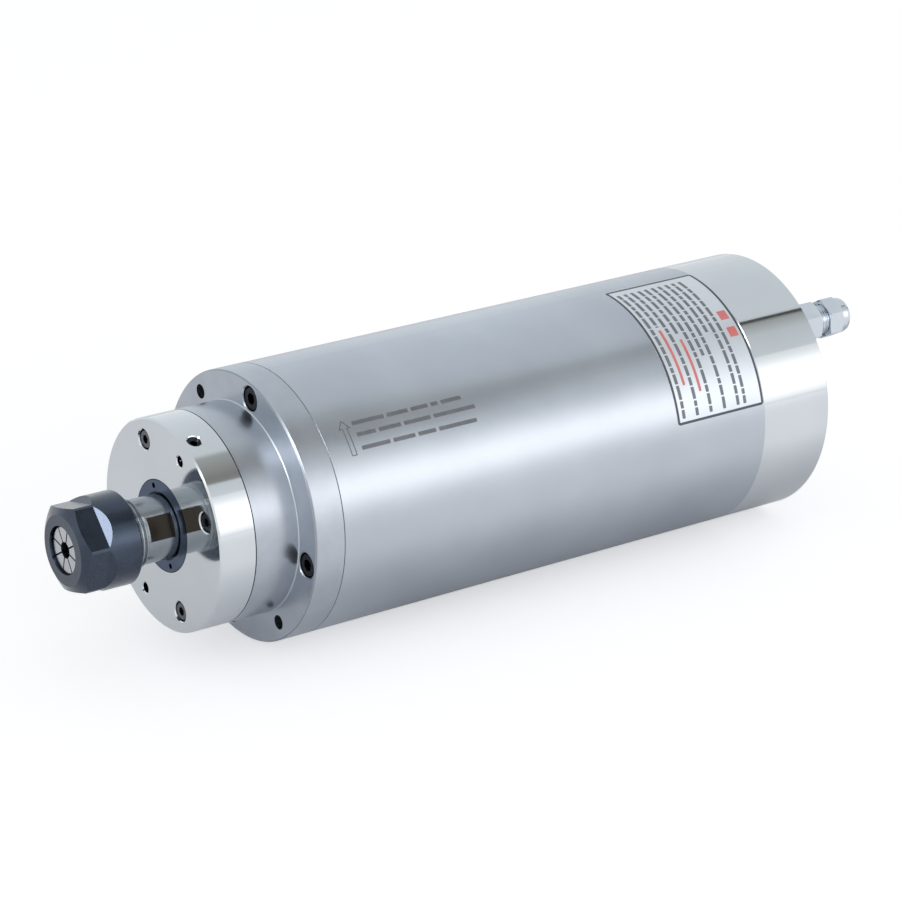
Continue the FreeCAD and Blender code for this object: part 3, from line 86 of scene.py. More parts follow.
class Rays(Enum):
    """The kinds of ray for which the studio shows its plain white."""

    CAMERA = "Is Camera Ray"
    GLOSSY = "Is Glossy Ray"
    TRANSMISSION = "Is Transmission Ray"


def linear(colour: str) -> tuple[float, float, float, float]:
    """Turns an sRGB hex colour to the linear values that shaders use.

    Args:
        colour: the colour as "#rrggbb".

    Returns:
        Red, green, blue and alpha, linear.
    """
    parts = [int(colour[place:place + 2], 16) / 255 for place in (1, 3, 5)]
    red, green, blue = (
        part / 12.92 if part <= 0.04045 else ((part + 0.055) / 1.055) ** 2.4
        for part in parts
    )
    return (red, green, blue, 1.0)


def add_node(
    tree: bpy.types.NodeTree,
    kind: str,
    values: Optional[dict[str, Any]] = None,
    links: Optional[dict[str, bpy.types.NodeSocket]] = None,
    **settings: Any,
) -> bpy.types.Node:
    """Adds one shader node with its settings, values and links.

    Args:
        tree: the material's or world's node tree.
        kind: the node's type.
        values: input names or places, and the values they take.
        links: input names or places, and the outputs that feed them.
        **settings: the node's own attributes.

    Returns:
        The new node.
    """
    node = tree.nodes.new(kind)
    for name, setting in settings.items():
        setattr(node, name, setting)
    for name, value in (values or {}).items():
        node.inputs[name].default_value = value
    for name, output in (links or {}).items():
        tree.links.new(output, node.inputs[name])
    return node


def mix_colour(
    tree: bpy.types.NodeTree,
    mask: bpy.types.NodeSocket,
    plain: bpy.types.NodeSocket,
    colour: str,
) -> bpy.types.NodeSocket:
    """Lays a colour over another one where a mask says 1.

    Args:
        tree: the material's node tree.
        mask: 1 where the colour lies, else 0.
        plain: the colour outside the mask.
        colour: the colour inside it, as "#rrggbb".

    Returns:
        The colour output.
    """
    # The mix node's colour inputs are 6 and 7, and its colour output is 2
    mixed = add_node(
        tree, "ShaderNodeMix", {7: linear(colour)}, {0: mask, 6: plain}, data_type="RGBA"
    )
    return mixed.outputs[2]


def new_material(name: str) -> tuple[bpy.types.Material, bpy.types.NodeTree]:
    """Makes an empty node material.

    Args:
        name: the material's name.

    Returns:
        The material and its cleared node tree.
    """
    material = bpy.data.materials.new(name)
    material.use_nodes = True
    material.node_tree.nodes.clear()
    return material, material.node_tree


@dataclass(frozen=True)
class Finish:
    """What every finish has: a name, two close colours and a gloss."""

    name: str
    colour: str
    cloud_colour: str
    roughness: float
    roughness_spread: float = 0.05
    metallic: float = 1.0
    cloud_mm: float = 30.0
    cloud_edges: tuple[float, float] = (0.32, 0.68)
    pattern_edges: tuple[float, float] = (0.6, 1.4)
    relief_mm: float = 0.002
    anisotropy: float = 0.0
    coat: float = 0.0
    coat_roughness: float = 0.15

    def position(self, tree: bpy.types.NodeTree) -> bpy.types.NodeSocket:
        """Gives the point on the piece, in metres from the flange's centre."""
        return add_node(tree, "ShaderNodeTexCoord").outputs["Object"]

    def clouds(self, tree: bpy.types.NodeTree) -> bpy.types.NodeSocket:
        """Gives the slow change of tone that handling and oil leave.

        Args:
            tree: the material's node tree.

        Returns:
            The pattern, mostly between 0.3 and 0.7.
        """
        cloud = add_node(
            tree,
            "ShaderNodeTexNoise",
            {"Scale": 1 / (self.cloud_mm * MM), "Detail": 3.0, "Roughness": 0.55},
            {"Vector": self.position(tree)},
        )
        return cloud.outputs["Fac"]

    def fine_pattern(self, tree: bpy.types.NodeTree) -> bpy.types.NodeSocket:
        """Gives the surface's fine pattern, from 0 to 1."""
        raise NotImplementedError

    def relief(
        self, tree: bpy.types.NodeTree, pattern: bpy.types.NodeSocket
    ) -> bpy.types.NodeSocket:
        """Raises the fine pattern by its real depth.

        Args:
            tree: the material's node tree.
            pattern: the fine pattern.

        Returns:
            The normal output.
        """
        bump = add_node(
            tree,
            "ShaderNodeBump",
            {"Strength": 1.0, "Distance": self.relief_mm * MM},
            {"Height": pattern},
        )
        return bump.outputs["Normal"]

    def base_colour(
        self, tree: bpy.types.NodeTree, cloud: bpy.types.NodeSocket
    ) -> bpy.types.NodeSocket:
        """Mixes the two colours by the cloud pattern.

        Args:
            tree: the material's node tree.
            cloud: the cloud pattern.

        Returns:
            The colour output.
        """
        ramp = add_node(tree, "ShaderNodeValToRGB", links={"Fac": cloud})
        for stop, edge, colour in zip(
            ramp.color_ramp.elements, self.cloud_edges, (self.colour, self.cloud_colour)
        ):
            stop.position = edge
            stop.color = linear(colour)
        return ramp.outputs["Color"]

    def build(self) -> bpy.types.Material:
        """Builds the finish as a node material.

        Returns:
            The new material.
        """
        material, tree = new_material(self.name)
        cloud = self.clouds(tree)
        pattern = self.fine_pattern(tree)
        both = add_node(
            tree, "ShaderNodeMath", links={0: cloud, 1: pattern}, operation="ADD"
        )
        gloss = add_node(
            tree,
            "ShaderNodeMapRange",
            {
                "From Min": self.pattern_edges[0],
                "From Max": self.pattern_edges[1],
                "To Min": self.roughness - self.roughness_spread,
                "To Max": self.roughness + self.roughness_spread,
            },
            {"Value": both.outputs[0]},
        )
        links = {
            "Base Color": self.base_colour(tree, cloud),
            "Roughness": gloss.outputs["Result"],
            "Normal": self.relief(tree, pattern),
        }
        if self.anisotropy:
            tangent = add_node(
                tree, "ShaderNodeTangent", direction_type="RADIAL", axis="X"
            )
            links["Tangent"] = tangent.outputs["Tangent"]
        shader = add_node(
            tree,
            "ShaderNodeBsdfPrincipled",
            {
                "Metallic": self.metallic,
                "Anisotropic": self.anisotropy,
                "Coat Weight": self.coat,
                "Coat Roughness": self.coat_roughness,
            },
            links,
        )
        add_node(
            tree,
            "ShaderNodeOutputMaterial",
            links={"Surface": shader.outputs["BSDF"]},
        )
        return material


@dataclass(frozen=True)
class LatheTurned(Finish):
    """Metal turned or ground on its axis: fine lines run round it."""

    line_mm: float = 0.5
    lines_round: float = 3.0
    joints: tuple[tuple[float, str], ...] = ()
    joint_width_mm: float = 0.42

    def base_colour(
        self, tree: bpy.types.NodeTree, cloud: bpy.types.NodeSocket
    ) -> bpy.types.NodeSocket:
        """Paints darker lines at each joint and edge: oil and dust together with painted
        shade in a joint's groove, and painted shade on an edge.

        Args:
            tree: the material's node tree.
            cloud: the cloud pattern.

        Returns:
            The colour output.
        """
        metal = super().base_colour(tree, cloud)
        if not self.joints:
            return metal
        along = add_node(
            tree, "ShaderNodeSeparateXYZ", links={0: self.position(tree)}
        ).outputs["X"]
        # Each line's colour is painted shade, with oil and dust as well where the line lies
        # in a joint's groove.
        for place_mm, colour in self.joints:
            on_shaded_line = add_node(
                tree,
                "ShaderNodeMath",
                {1: place_mm * MM, 2: self.joint_width_mm / 2 * MM},
                {0: along},
                operation="COMPARE",
            ).outputs[0]
            metal = mix_colour(tree, on_shaded_line, metal, colour)
        return metal

    def fine_pattern(self, tree: bpy.types.NodeTree) -> bpy.types.NodeSocket:
        """Gives lines that run round the spindle's axis on walls and on faces.

        Args:
            tree: the material's node tree.

        Returns:
            The lines, from 0 to 1.
        """
        place = self.position(tree)
        across = add_node(
            tree,
            "ShaderNodeVectorMath",
            {1: (0.0, 1.0, 1.0)},
            {0: place},
            operation="MULTIPLY",
        ).outputs["Vector"]
        radius = add_node(
            tree, "ShaderNodeVectorMath", links={0: across}, operation="LENGTH"
        ).outputs["Value"]
        heading = add_node(
            tree, "ShaderNodeVectorMath", links={0: across}, operation="NORMALIZE"
        ).outputs["Vector"]
        along = add_node(tree, "ShaderNodeSeparateXYZ", links={0: place}).outputs["X"]
        turn = add_node(tree, "ShaderNodeSeparateXYZ", links={0: heading})
        pitch = 1 / (self.line_mm * MM)
        scaled = [
            add_node(
                tree, "ShaderNodeMath", {1: factor}, {0: value}, operation="MULTIPLY"
            ).outputs[0]
            for value, factor in (
                (along, pitch),
                (radius, pitch),
                (turn.outputs["Y"], self.lines_round),
                (turn.outputs["Z"], self.lines_round),
            )
        ]
        point = add_node(
            tree,
            "ShaderNodeCombineXYZ",
            links={"X": scaled[0], "Y": scaled[1], "Z": scaled[2]},
        )
        lines = add_node(
            tree,
            "ShaderNodeTexNoise",
            {"Scale": 1.0, "Detail": 2.0, "Roughness": 0.6},
            {"Vector": point.outputs[0], "W": scaled[3]},
            noise_dimensions="4D",
        )
        return lines.outputs["Fac"]


@dataclass(frozen=True)
class Grained(Finish):
    """A surface with an even grain: plated, blasted, cast or moulded."""

    grain_mm: float = 0.4
    grain_detail: float = 4.0
    stretch: tuple[float, float, float] = (1.0, 1.0, 1.0)

    def fine_pattern(self, tree: bpy.types.NodeTree) -> bpy.types.NodeSocket:
        """Gives a grain of the stated size, longer along a stretched axis.

        Args:
            tree: the material's node tree.

        Returns:
            The grain, from 0 to 1.
        """
        place = add_node(
            tree,
            "ShaderNodeVectorMath",
            {1: tuple(1 / amount for amount in self.stretch)},
            {0: self.position(tree)},
            operation="MULTIPLY",
        )
        grain = add_node(
            tree,
            "ShaderNodeTexNoise",
            {
                "Scale": 1 / (self.grain_mm * MM),
                "Detail": self.grain_detail,
                "Roughness": 0.6,
            },
            {"Vector": place.outputs["Vector"]},
        )
        return grain.outputs["Fac"]


@dataclass(frozen=True)
class Stacked(Finish):
    """Thin sheets or wires side by side along one direction."""

    pitch_mm: float = 0.5
    direction: str = "X"

    def fine_pattern(self, tree: bpy.types.NodeTree) -> bpy.types.NodeSocket:
        """Gives one rounded ridge for each sheet or wire.

        Args:
            tree: the material's node tree.

        Returns:
            The ridges, from 0 to 1.
        """
        waves = add_node(
            tree,
            "ShaderNodeTexWave",
            {
                # Blender's wave repeats each 2 pi / 20 of a unit at scale 1
                "Scale": 2 * math.pi / 20 / (self.pitch_mm * MM),
                "Distortion": 0.3,
                "Detail": 1.0,
            },
            {"Vector": self.position(tree)},
            bands_direction=self.direction,
        )
        return waves.outputs["Fac"]


@dataclass(frozen=True)
class ShaftSteel(LatheTurned):
    """Ground shaft steel whose two milled wrench flats carry a painted dark reflection."""

    flat_reflection_colour: str = "#3d3833"
    flat_angle: float = 157.3
    flat_distance_mm: float = 11.0
    flat_play_mm: float = 0.03
    flat_start_mm: float = -44.4
    flat_end_mm: float = -33.6

    def base_colour(
        self, tree: bpy.types.NodeTree, cloud: bpy.types.NodeSocket
    ) -> bpy.types.NodeSocket:
        """Paints a dark reflection on the two flats, found by their distance from the axis.

        Args:
            tree: the material's node tree.
            cloud: the cloud pattern.

        Returns:
            The colour output.
        """
        steel = super().base_colour(tree, cloud)
        place = self.position(tree)
        angle = math.radians(self.flat_angle)
        depth = add_node(
            tree,
            "ShaderNodeVectorMath",
            {1: (0.0, math.cos(angle), math.sin(angle))},
            {0: place},
            operation="DOT_PRODUCT",
        ).outputs["Value"]
        depth = add_node(
            tree, "ShaderNodeMath", links={0: depth}, operation="ABSOLUTE"
        ).outputs[0]
        on_flat = add_node(
            tree,
            "ShaderNodeMath",
            {1: self.flat_distance_mm * MM, 2: self.flat_play_mm * MM},
            {0: depth},
            operation="COMPARE",
        ).outputs[0]
        along = add_node(tree, "ShaderNodeSeparateXYZ", links={0: place}).outputs["X"]
        middle = (self.flat_start_mm + self.flat_end_mm) / 2 * MM
        reach = (self.flat_end_mm - self.flat_start_mm) / 2 * MM
        in_length = add_node(
            tree,
            "ShaderNodeMath",
            {1: middle, 2: reach},
            {0: along},
            operation="COMPARE",
        ).outputs[0]
        mask = add_node(
            tree,
            "ShaderNodeMath",
            links={0: on_flat, 1: in_length},
            operation="MULTIPLY",
        ).outputs[0]
        # Painted reflection: the flats take a dark colour in place of the dark surroundings
        # they mirror.
        return mix_colour(tree, mask, steel, self.flat_reflection_colour)


# Stainless steel, finish-turned and wiped: satin, with soft bands round the body.
TURNED_STEEL = LatheTurned(
    "stainless_steel_finish_turned", "#bcc2cb", "#c3c9d1", 0.25, 0.025,
    cloud_mm=30, anisotropy=0.4, line_mm=0.35, relief_mm=0.0006,
    # A soft line at the body joint: oil and dust with painted shade.
    joints=((BODY_JOINT_MM, SOFT_JOINT_DIRT_AND_SHADE),),
)
# The same steel on the front housing, turned and then blasted: broad, soft highlights.
HOUSING_STEEL = LatheTurned(
    "stainless_steel_finish_blasted", "#b6bcc5", "#bfc5cd", 0.3, 0.025,
    cloud_mm=11, anisotropy=0.3, line_mm=0.4, relief_mm=0.00015,
    # Dark lines of oil and dust with painted shade at the cap and body joints, and painted
    # shade on the flange's front edge.
    joints=(
        (CAP_JOINT_MM, JOINT_DIRT_AND_SHADE), (FLANGE_EDGE_MM, SOFT_EDGE_SHADE), (BODY_JOINT_MM, SOFT_JOINT_DIRT_AND_SHADE)
    ),
)
# Bright nickel plate on ground steel: close to a mirror, with a faint haze.
NICKEL_PLATE = LatheTurned(
    "steel_bright_nickel_plated", "#d6dbdf", "#dbe0e4", 0.085, 0.02,
    # A dark line of oil and dust with painted shade at the cap joint.
    cloud_mm=40, line_mm=0.6, relief_mm=0.00015, joints=((CAP_JOINT_MM, JOINT_DIRT_AND_SHADE),),
)
# Steel blackened in an oxide bath and oiled: dark blue-grey under a soft oil shine.
BLACK_OXIDE = Grained(
    "steel_black_oxide_oiled", "#303b4c", "#384558", 0.28, 0.06,
    cloud_mm=9, coat=0.7, coat_roughness=0.18, grain_mm=0.35, relief_mm=0.003,
)
# The same bath on socket screws: nearly black, smoother.
BLACK_SCREW = Grained(
    "screw_steel_black_oxide", "#292b2f", "#34373b", 0.3, 0.06,
    cloud_mm=3, grain_mm=0.25, relief_mm=0.003,
)
# Steel blued by heat after turning: dark slate with fine rings.
BLUED_RING = LatheTurned(
    "steel_heat_blued", "#4a586d", "#556378", 0.24, 0.05,
    cloud_mm=8, line_mm=0.3, relief_mm=0.0015,
)
# Hardened steel ground on centres: grey, tight rings.
SHAFT_STEEL = ShaftSteel(
    "shaft_steel_ground", "#a3a8ad", "#adb2b6", 0.22, 0.05,
    cloud_mm=7, line_mm=0.25, relief_mm=0.0012,
)
# Bearing steel, ground and superfinished: bright, a little darker than nickel.
BEARING_STEEL = LatheTurned(
    "bearing_steel_superfinished", "#a6a9ad", "#b0b3b6", 0.14, 0.04,
    cloud_mm=8, line_mm=0.2, relief_mm=0.0006,
)
# Spring steel, hardened and ground bright, as collets are.
COLLET_STEEL = LatheTurned(
    "spring_steel_ground_bright", "#c2c5c9", "#cbcdd0", 0.2, 0.05,
    cloud_mm=5, line_mm=0.2, relief_mm=0.001,
)
# Alloy screw steel, zinc plated and dulled by use: mid grey, fine grain.
SCREW_STEEL = Grained(
    "screw_steel_zinc_plated", "#5d6166", "#6c7075", 0.26, 0.06,
    cloud_mm=2, grain_mm=0.2, relief_mm=0.002,
)
# Silicon steel sheets, stamped and stacked; 0.5 mm each.
CORE_SHEETS = Stacked(
    "silicon_steel_sheets_stacked", "#6c6d70", "#7c7d80", 0.42, 0.08,
    cloud_mm=12, pitch_mm=0.5, relief_mm=0.05,
)
# Enamelled copper wire, wound and varnished; wires of about 0.8 mm.
WINDING = Stacked(
    "copper_wire_varnished", "#a8562a", "#7d3a1a", 0.3, 0.08, 0.75,
    cloud_mm=6, pitch_mm=0.8, relief_mm=0.12, direction="DIAGONAL",
)
# Die-cast aluminium: pale, with a slight cast skin.
CAST_ALUMINIUM = Grained(
    "aluminium_die_cast", "#b5b7ba", "#a8aaad", 0.4, 0.08,
    cloud_mm=10, grain_mm=0.6, relief_mm=0.01,
)
# Cotton phenolic, machined: warm brown with woven fibres.
CAGE_RESIN = Grained(
    "phenolic_resin_machined", "#8a5a2e", "#6e4522", 0.5, 0.06, 0.0,
    cloud_mm=3, grain_mm=0.35, relief_mm=0.01, stretch=(3.0, 1.0, 1.0),
)
# Nitrile rubber, moulded: black and matt.
SEAL_RUBBER = Grained(
    "nitrile_rubber_moulded", "#1b1b1c", "#242426", 0.62, 0.08, 0.0,
    cloud_mm=4, grain_mm=0.2, relief_mm=0.008,
)
# Brass, turned and nickel plated, as pipe fittings are: bright and cool.
FITTING_BRASS = Grained(
    "brass_nickel_plated", "#d3dae3", "#dbe1e8", 0.1, 0.03,
    cloud_mm=7, grain_mm=0.6, relief_mm=0.0012,
)
# Glass-filled polyamide, moulded: dark, with a fine spark-eroded grain.
INSULATOR = Grained(
    "polyamide_moulded", "#232427", "#2c2d30", 0.45, 0.06, 0.0,
    cloud_mm=4, grain_mm=0.15, relief_mm=0.006,
)
# Brass pins, turned and gold flashed.
CONTACT_BRASS = Grained(
    "brass_gold_flashed", "#d9b36a", "#cfa65a", 0.2, 0.05,
    cloud_mm=2, grain_mm=0.2, relief_mm=0.001,
)
# Polyester film with a silver back, printed: pale, slightly metallic.
LABEL_FILM = Grained(
    "polyester_film_silvered", "#dde4ec", "#e4e9ef", 0.36, 0.04, 0.6,
    cloud_mm=14, grain_mm=0.5, relief_mm=0.0015,
)
# Screen ink, dark grey.
DARK_INK = Grained(
    "screen_ink_dark_grey", "#4a4e58", "#555963", 0.5, 0.05, 0.0,
    cloud_mm=6, grain_mm=0.2, relief_mm=0.002,
)
# The same ink in fine print, thinner: mid grey.
PRINT_INK = Grained(
    "screen_ink_mid_grey", "#747a84", "#7e848d", 0.5, 0.05, 0.0,
    cloud_mm=6, grain_mm=0.2, relief_mm=0.002,
)
# Screen ink, signal red.
RED_INK = Grained(
    "screen_ink_red", "#e07573", "#e48583", 0.5, 0.05, 0.0,
    cloud_mm=6, grain_mm=0.2, relief_mm=0.002,
)
# Steel darkened by a marking laser: grey-brown oxide, matt.
LASER_MARK = Grained(
    "steel_laser_marked", "#75777b", "#808287", 0.5, 0.06, 0.6,
    cloud_mm=3, grain_mm=0.25, relief_mm=0.004,
)


@dataclass
class CarriedNodes:
    """The construction model's own nodes, each in its real finish."""

    nodes: dict[str, bpy.types.Object]
    finishes: dict[Part, Finish] = field(default_factory=lambda: {
        Part.TURNED_STEEL: TURNED_STEEL,
        Part.NICKEL: NICKEL_PLATE,
        Part.BLACK_OXIDE: BLACK_OXIDE,
        Part.BLUED_RING: BLUED_RING,
        Part.GROUND_STEEL: BEARING_STEEL,
        Part.COLLET_STEEL: COLLET_STEEL,
        Part.SCREW_STEEL: SCREW_STEEL,
        Part.CORE_SHEETS: CORE_SHEETS,
        Part.WINDING: WINDING,
        Part.CAST_ALUMINIUM: CAST_ALUMINIUM,
        Part.CAGE_RESIN: CAGE_RESIN,
        Part.SEAL_RUBBER: SEAL_RUBBER,
        Part.FITTING_BRASS: FITTING_BRASS,
        Part.INSULATOR: INSULATOR,
        Part.CONTACT_BRASS: CONTACT_BRASS,
    })
    own_finishes: dict[str, Finish] = field(default_factory=lambda: {
        "spindle_shaft": SHAFT_STEEL,
        "front_housing": HOUSING_STEEL,
        "flange_screws": BLACK_SCREW,
        "rear_cap_screws": BLACK_SCREW,
        "air_port_plug": BLACK_SCREW,
    })

    def dress(self) -> int:
        """Puts each node's finish in its material slots.

        Returns:
            How many nodes were dressed.
        """
        built: dict[str, bpy.types.Material] = {}
        for name, node in self.nodes.items():
            for slot in node.material_slots:
                part = Part(slot.material.name.split(".")[0])
                finish = self.own_finishes.get(name, self.finishes[part])
                if finish.name not in built:
                    built[finish.name] = finish.build()
                slot.material = built[finish.name]
        return len(self.nodes)


@dataclass
class BodySurface:
    """The body's round surface, on which marks and the label lie."""

    radius: float = BODY_RADIUS
    step: float = 1.2 * MM
    corner_parts: int = 5

    def point(self, along: float, arc: float, height: float) -> Vector:
        """Gives a point of the surface.

        Args:
            along: the place along the axis.
            arc: the length round the surface from +Y towards +Z.
            height: how far the point stands off the surface.

        Returns:
            The point in the row frame.
        """
        angle = arc / self.radius
        reach = self.radius + height
        return Vector((along, reach * math.cos(angle), reach * math.sin(angle)))

    def arc(self, angle: float) -> float:
        """Turns an angle in degrees to a length round the surface."""
        return math.radians(angle) * self.radius

    def strip(
        self,
        mesh: bmesh.types.BMesh,
        left: list[Point],
        right: list[Point],
        low: float,
        high: float,
    ) -> None:
        """Adds a thin closed strip between two edges of equal count.

        Args:
            mesh: the mesh that takes the strip.
            left: points of one edge, as (along, arc).
            right: points of the other edge.
            low: height of the strip's underside.
            high: height of its top.
        """
        rows = [
            [
                mesh.verts.new(self.point(*place, height))
                for place, height in (
                    (first, low), (second, low), (second, high), (first, high)
                )
            ]
            for first, second in zip(left, right)
        ]
        for before, after in zip(rows, rows[1:]):
            for side in range(4):
                following = (side + 1) % 4
                mesh.faces.new((
                    before[side], before[following], after[following], after[side]
                ))
        mesh.faces.new(reversed(rows[0]))
        mesh.faces.new(rows[-1])

    def plate(
        self,
        mesh: bmesh.types.BMesh,
        start: Point,
        end: Point,
        corner: float,
        low: float,
        high: float,
    ) -> None:
        """Adds a wrapped rectangle with round corners.

        Args:
            mesh: the mesh that takes the plate.
            start: its lowest (along, arc) corner.
            end: its highest (along, arc) corner.
            corner: the corner's radius.
            low: height of the underside.
            high: height of the top.
        """
        span = end[1] - start[1]
        quarter = [
            (corner * (1 - math.cos(turn)), corner * (1 - math.sin(turn)))
            for turn in (
                math.pi / 2 * part / self.corner_parts
                for part in range(self.corner_parts + 1)
            )
        ]
        count = max(1, math.ceil((span - 2 * corner) / self.step))
        middle = [
            (corner + (span - 2 * corner) * part / count, 0.0)
            for part in range(1, count)
        ]
        rows = quarter + middle + [(span - arc, cut) for arc, cut in reversed(quarter)]
        left = [(start[0] + cut, start[1] + arc) for arc, cut in rows]
        right = [(end[0] - cut, start[1] + arc) for arc, cut in rows]
        self.strip(mesh, left, right, low, high)

    def outline(
        self,
        mesh: bmesh.types.BMesh,
        corners: list[Point],
        width: float,
        low: float,
        high: float,
    ) -> None:
        """Adds a closed line of even width with mitred corners.

        Args:
            mesh: the mesh that takes the line.
            corners: the line's corners, as (along, arc).
            width: the line's width.
            low: height of the underside.
            high: height of the top.
        """
        count = len(corners)
        mitres = []
        for index in range(count):
            here = Vector(corners[index])
            came = (here - Vector(corners[index - 1])).normalized()
            goes = (Vector(corners[(index + 1) % count]) - here).normalized()
            normals = [Vector((-way.y, way.x)) for way in (came, goes)]
            middle = (normals[0] + normals[1]).normalized()
            mitres.append(middle * (width / 2 / middle.dot(normals[0])))
        for index in range(count):
            following = (index + 1) % count
            start, end = Vector(corners[index]), Vector(corners[following])
            pieces = max(1, math.ceil((end - start).length / self.step))
            edges: tuple[list[Point], list[Point]] = ([], [])
            for part in range(pieces + 1):
                share = part / pieces
                place = start.lerp(end, share)
                shift = mitres[index].lerp(mitres[following], share)
                edges[0].append(tuple(place + shift))
                edges[1].append(tuple(place - shift))
            self.strip(mesh, edges[1], edges[0], low, high)


def finish_piece(
    mesh: bmesh.types.BMesh, name: str, finish: Finish
) -> bpy.types.Object:
    """Turns a mesh into a piece of the housing.

    Args:
        mesh: the finished mesh, which is freed.
        name: the piece's name.
        finish: the piece's finish.

    Returns:
        The new object.
    """
    bmesh.ops.recalc_face_normals(mesh, faces=mesh.faces)
    data = bpy.data.meshes.new(name)
    mesh.to_mesh(data)
    mesh.free()
    piece = bpy.data.objects.new(name, data)
    bpy.context.scene.collection.objects.link(piece)
    data.materials.append(finish.build())
    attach(piece, HOUSING)
    return piece


@dataclass
class RatingLabel:
    """The silver film label at the body's rear, printed with plain bars only."""

    surface: BodySurface
    start: float = 161.8 * MM
    end: float = 203.2 * MM
    top_angle: float = 93.7
    bottom_angle: float = 168.0
    film: float = 0.05 * MM
    ink: float = 0.015 * MM
    corner: float = 0.6 * MM
    border_width: float = 1.0 * MM
    border_inset: float = 0.05 * MM
    border_corner: float = 0.6 * MM
    corner_steps: tuple[float, ...] = (0, 22.5, 45, 67.5, 90)
    bar_width: float = 1.45 * MM
    bar_corner: float = 0.25 * MM
    row_start: float = 98.4
    row_end: float = 165.4
    word_gap: float = 0.55 * MM
    words: tuple[float, ...] = (3.2, 4.6, 2.1, 3.9, 5.4, 2.7, 4.2)
    row_places: tuple[float, ...] = (
        165.0, 168.2, 171.4, 174.8, 178.0, 181.3, 184.5, 187.9, 191.1, 194.4
    )
    short_row_ends: dict[int, float] = field(
        default_factory=lambda: {1: 123.2, 3: 129.6, 5: 141.0, 7: 131.0}
    )
    red_bars: tuple[tuple[float, float, float, float], ...] = (
        (168.2, 124.8, 151.5, 1.2),
        (174.8, 131.4, 155.6, 1.2),
        (199.1, 122.3, 127.1, 4.0),
        (199.1, 131.1, 135.9, 4.0),
    )

    def frame_corners(self, inset: float) -> list[Point]:
        """Gives the border line's rounded corners.

        Args:
            inset: how far the line lies inside the label's edge.

        Returns:
            The points of the line, as (along, arc).
        """
        first = (self.start + inset, self.surface.arc(self.top_angle) + inset)
        last = (self.end - inset, self.surface.arc(self.bottom_angle) - inset)
        radius = self.border_corner
        centres = (
            (last[0] - radius, last[1] - radius, 0),
            (first[0] + radius, last[1] - radius, 90),
            (first[0] + radius, first[1] + radius, 180),
            (last[0] - radius, first[1] + radius, 270),
        )
        return [
            (
                along + radius * math.cos(math.radians(turn + step)),
                arc + radius * math.sin(math.radians(turn + step)),
            )
            for along, arc, turn in centres
            for step in self.corner_steps
        ]

    def build(self) -> list[bpy.types.Object]:
        """Builds the film, its border and its bars.

        Returns:
            The label's pieces.
        """
        surface = self.surface
        film = bmesh.new()
        surface.plate(
            film,
            (self.start, surface.arc(self.top_angle)),
            (self.end, surface.arc(self.bottom_angle)),
            self.corner,
            0.0,
            self.film,
        )
        top = self.film + self.ink
        border = bmesh.new()
        surface.outline(
            border,
            self.frame_corners(self.border_width / 2 + self.border_inset),
            self.border_width,
            self.film,
            top,
        )
        bars = bmesh.new()
        for index, place in enumerate(self.row_places):
            along = place * MM
            arc = surface.arc(self.row_start)
            last_arc = surface.arc(self.short_row_ends.get(index, self.row_end))
            word = index * 2
            while arc < last_arc - self.word_gap:
                length = self.words[word % len(self.words)] * MM
                end = min(arc + length, last_arc)
                surface.plate(
                    bars,
                    (along - self.bar_width / 2, arc),
                    (along + self.bar_width / 2, end),
                    self.bar_corner,
                    self.film,
                    top,
                )
                arc = end + self.word_gap
                word += 1
        red = bmesh.new()
        for place, first, last, width in self.red_bars:
            surface.plate(
                red,
                ((place - width / 2) * MM, surface.arc(first)),
                ((place + width / 2) * MM, surface.arc(last)),
                self.bar_corner,
                self.film,
                top,
            )
        return [
            finish_piece(film, "label_film", LABEL_FILM),
            finish_piece(border, "label_border", DARK_INK),
            finish_piece(bars, "label_bars", PRINT_INK),
            finish_piece(red, "label_red_bars", RED_INK),
        ]


@dataclass
class BodyMarks:
    """The laser marks near the flange: a turning arrow and three plain lines."""

    surface: BodySurface
    height: float = 0.012 * MM
    line_width: float = 0.38 * MM
    arrow_middle: float = 22.0 * MM
    arrow_half_head: float = 2.2 * MM
    arrow_half_shaft: float = 0.95 * MM
    arrow_tip: float = 131.4
    arrow_shoulder: float = 134.9
    arrow_tail: float = 146.6
    line_start: float = 25.8 * MM
    bar_height: float = 1.5 * MM
    bar_corner: float = 0.3 * MM
    word_gap: float = 1.4 * MM
    lines: tuple[tuple[float, tuple[float, ...]], ...] = (
        (133.4, (13.4, 9.0, 7.2, 3.0, 8.6)),
        (138.6, (7.9, 9.4, 11.4, 18.0)),
        (144.4, (12.0, 9.3, 7.6, 16.4)),
    )

    def arrow(self) -> list[Point]:
        """Gives the arrow's outline, as (along, arc)."""
        tip, shoulder, tail = (
            self.surface.arc(angle)
            for angle in (self.arrow_tip, self.arrow_shoulder, self.arrow_tail)
        )
        head, shaft = self.arrow_half_head, self.arrow_half_shaft
        return [
            (self.arrow_middle + across, arc)
            for across, arc in (
                (0.0, tip),
                (head, shoulder),
                (shaft, shoulder),
                (shaft, tail),
                (-shaft, tail),
                (-shaft, shoulder),
                (-head, shoulder),
            )
        ]

    def build(self) -> list[bpy.types.Object]:
        """Builds the arrow and the lines.

        Returns:
            The marks' pieces.
        """
        arrow = bmesh.new()
        self.surface.outline(arrow, self.arrow(), self.line_width, 0.0, self.height)
        lines = bmesh.new()
        for angle, words in self.lines:
            middle = self.surface.arc(angle)
            along = self.line_start
            for word in words:
                self.surface.plate(
                    lines,
                    (along, middle - self.bar_height / 2),
                    (along + word * MM, middle + self.bar_height / 2),
                    self.bar_corner,
                    0.0,
                    self.height,
                )
                along += word * MM + self.word_gap
        return [
            finish_piece(arrow, "turning_arrow", LASER_MARK),
            finish_piece(lines, "marked_lines", LASER_MARK),
        ]


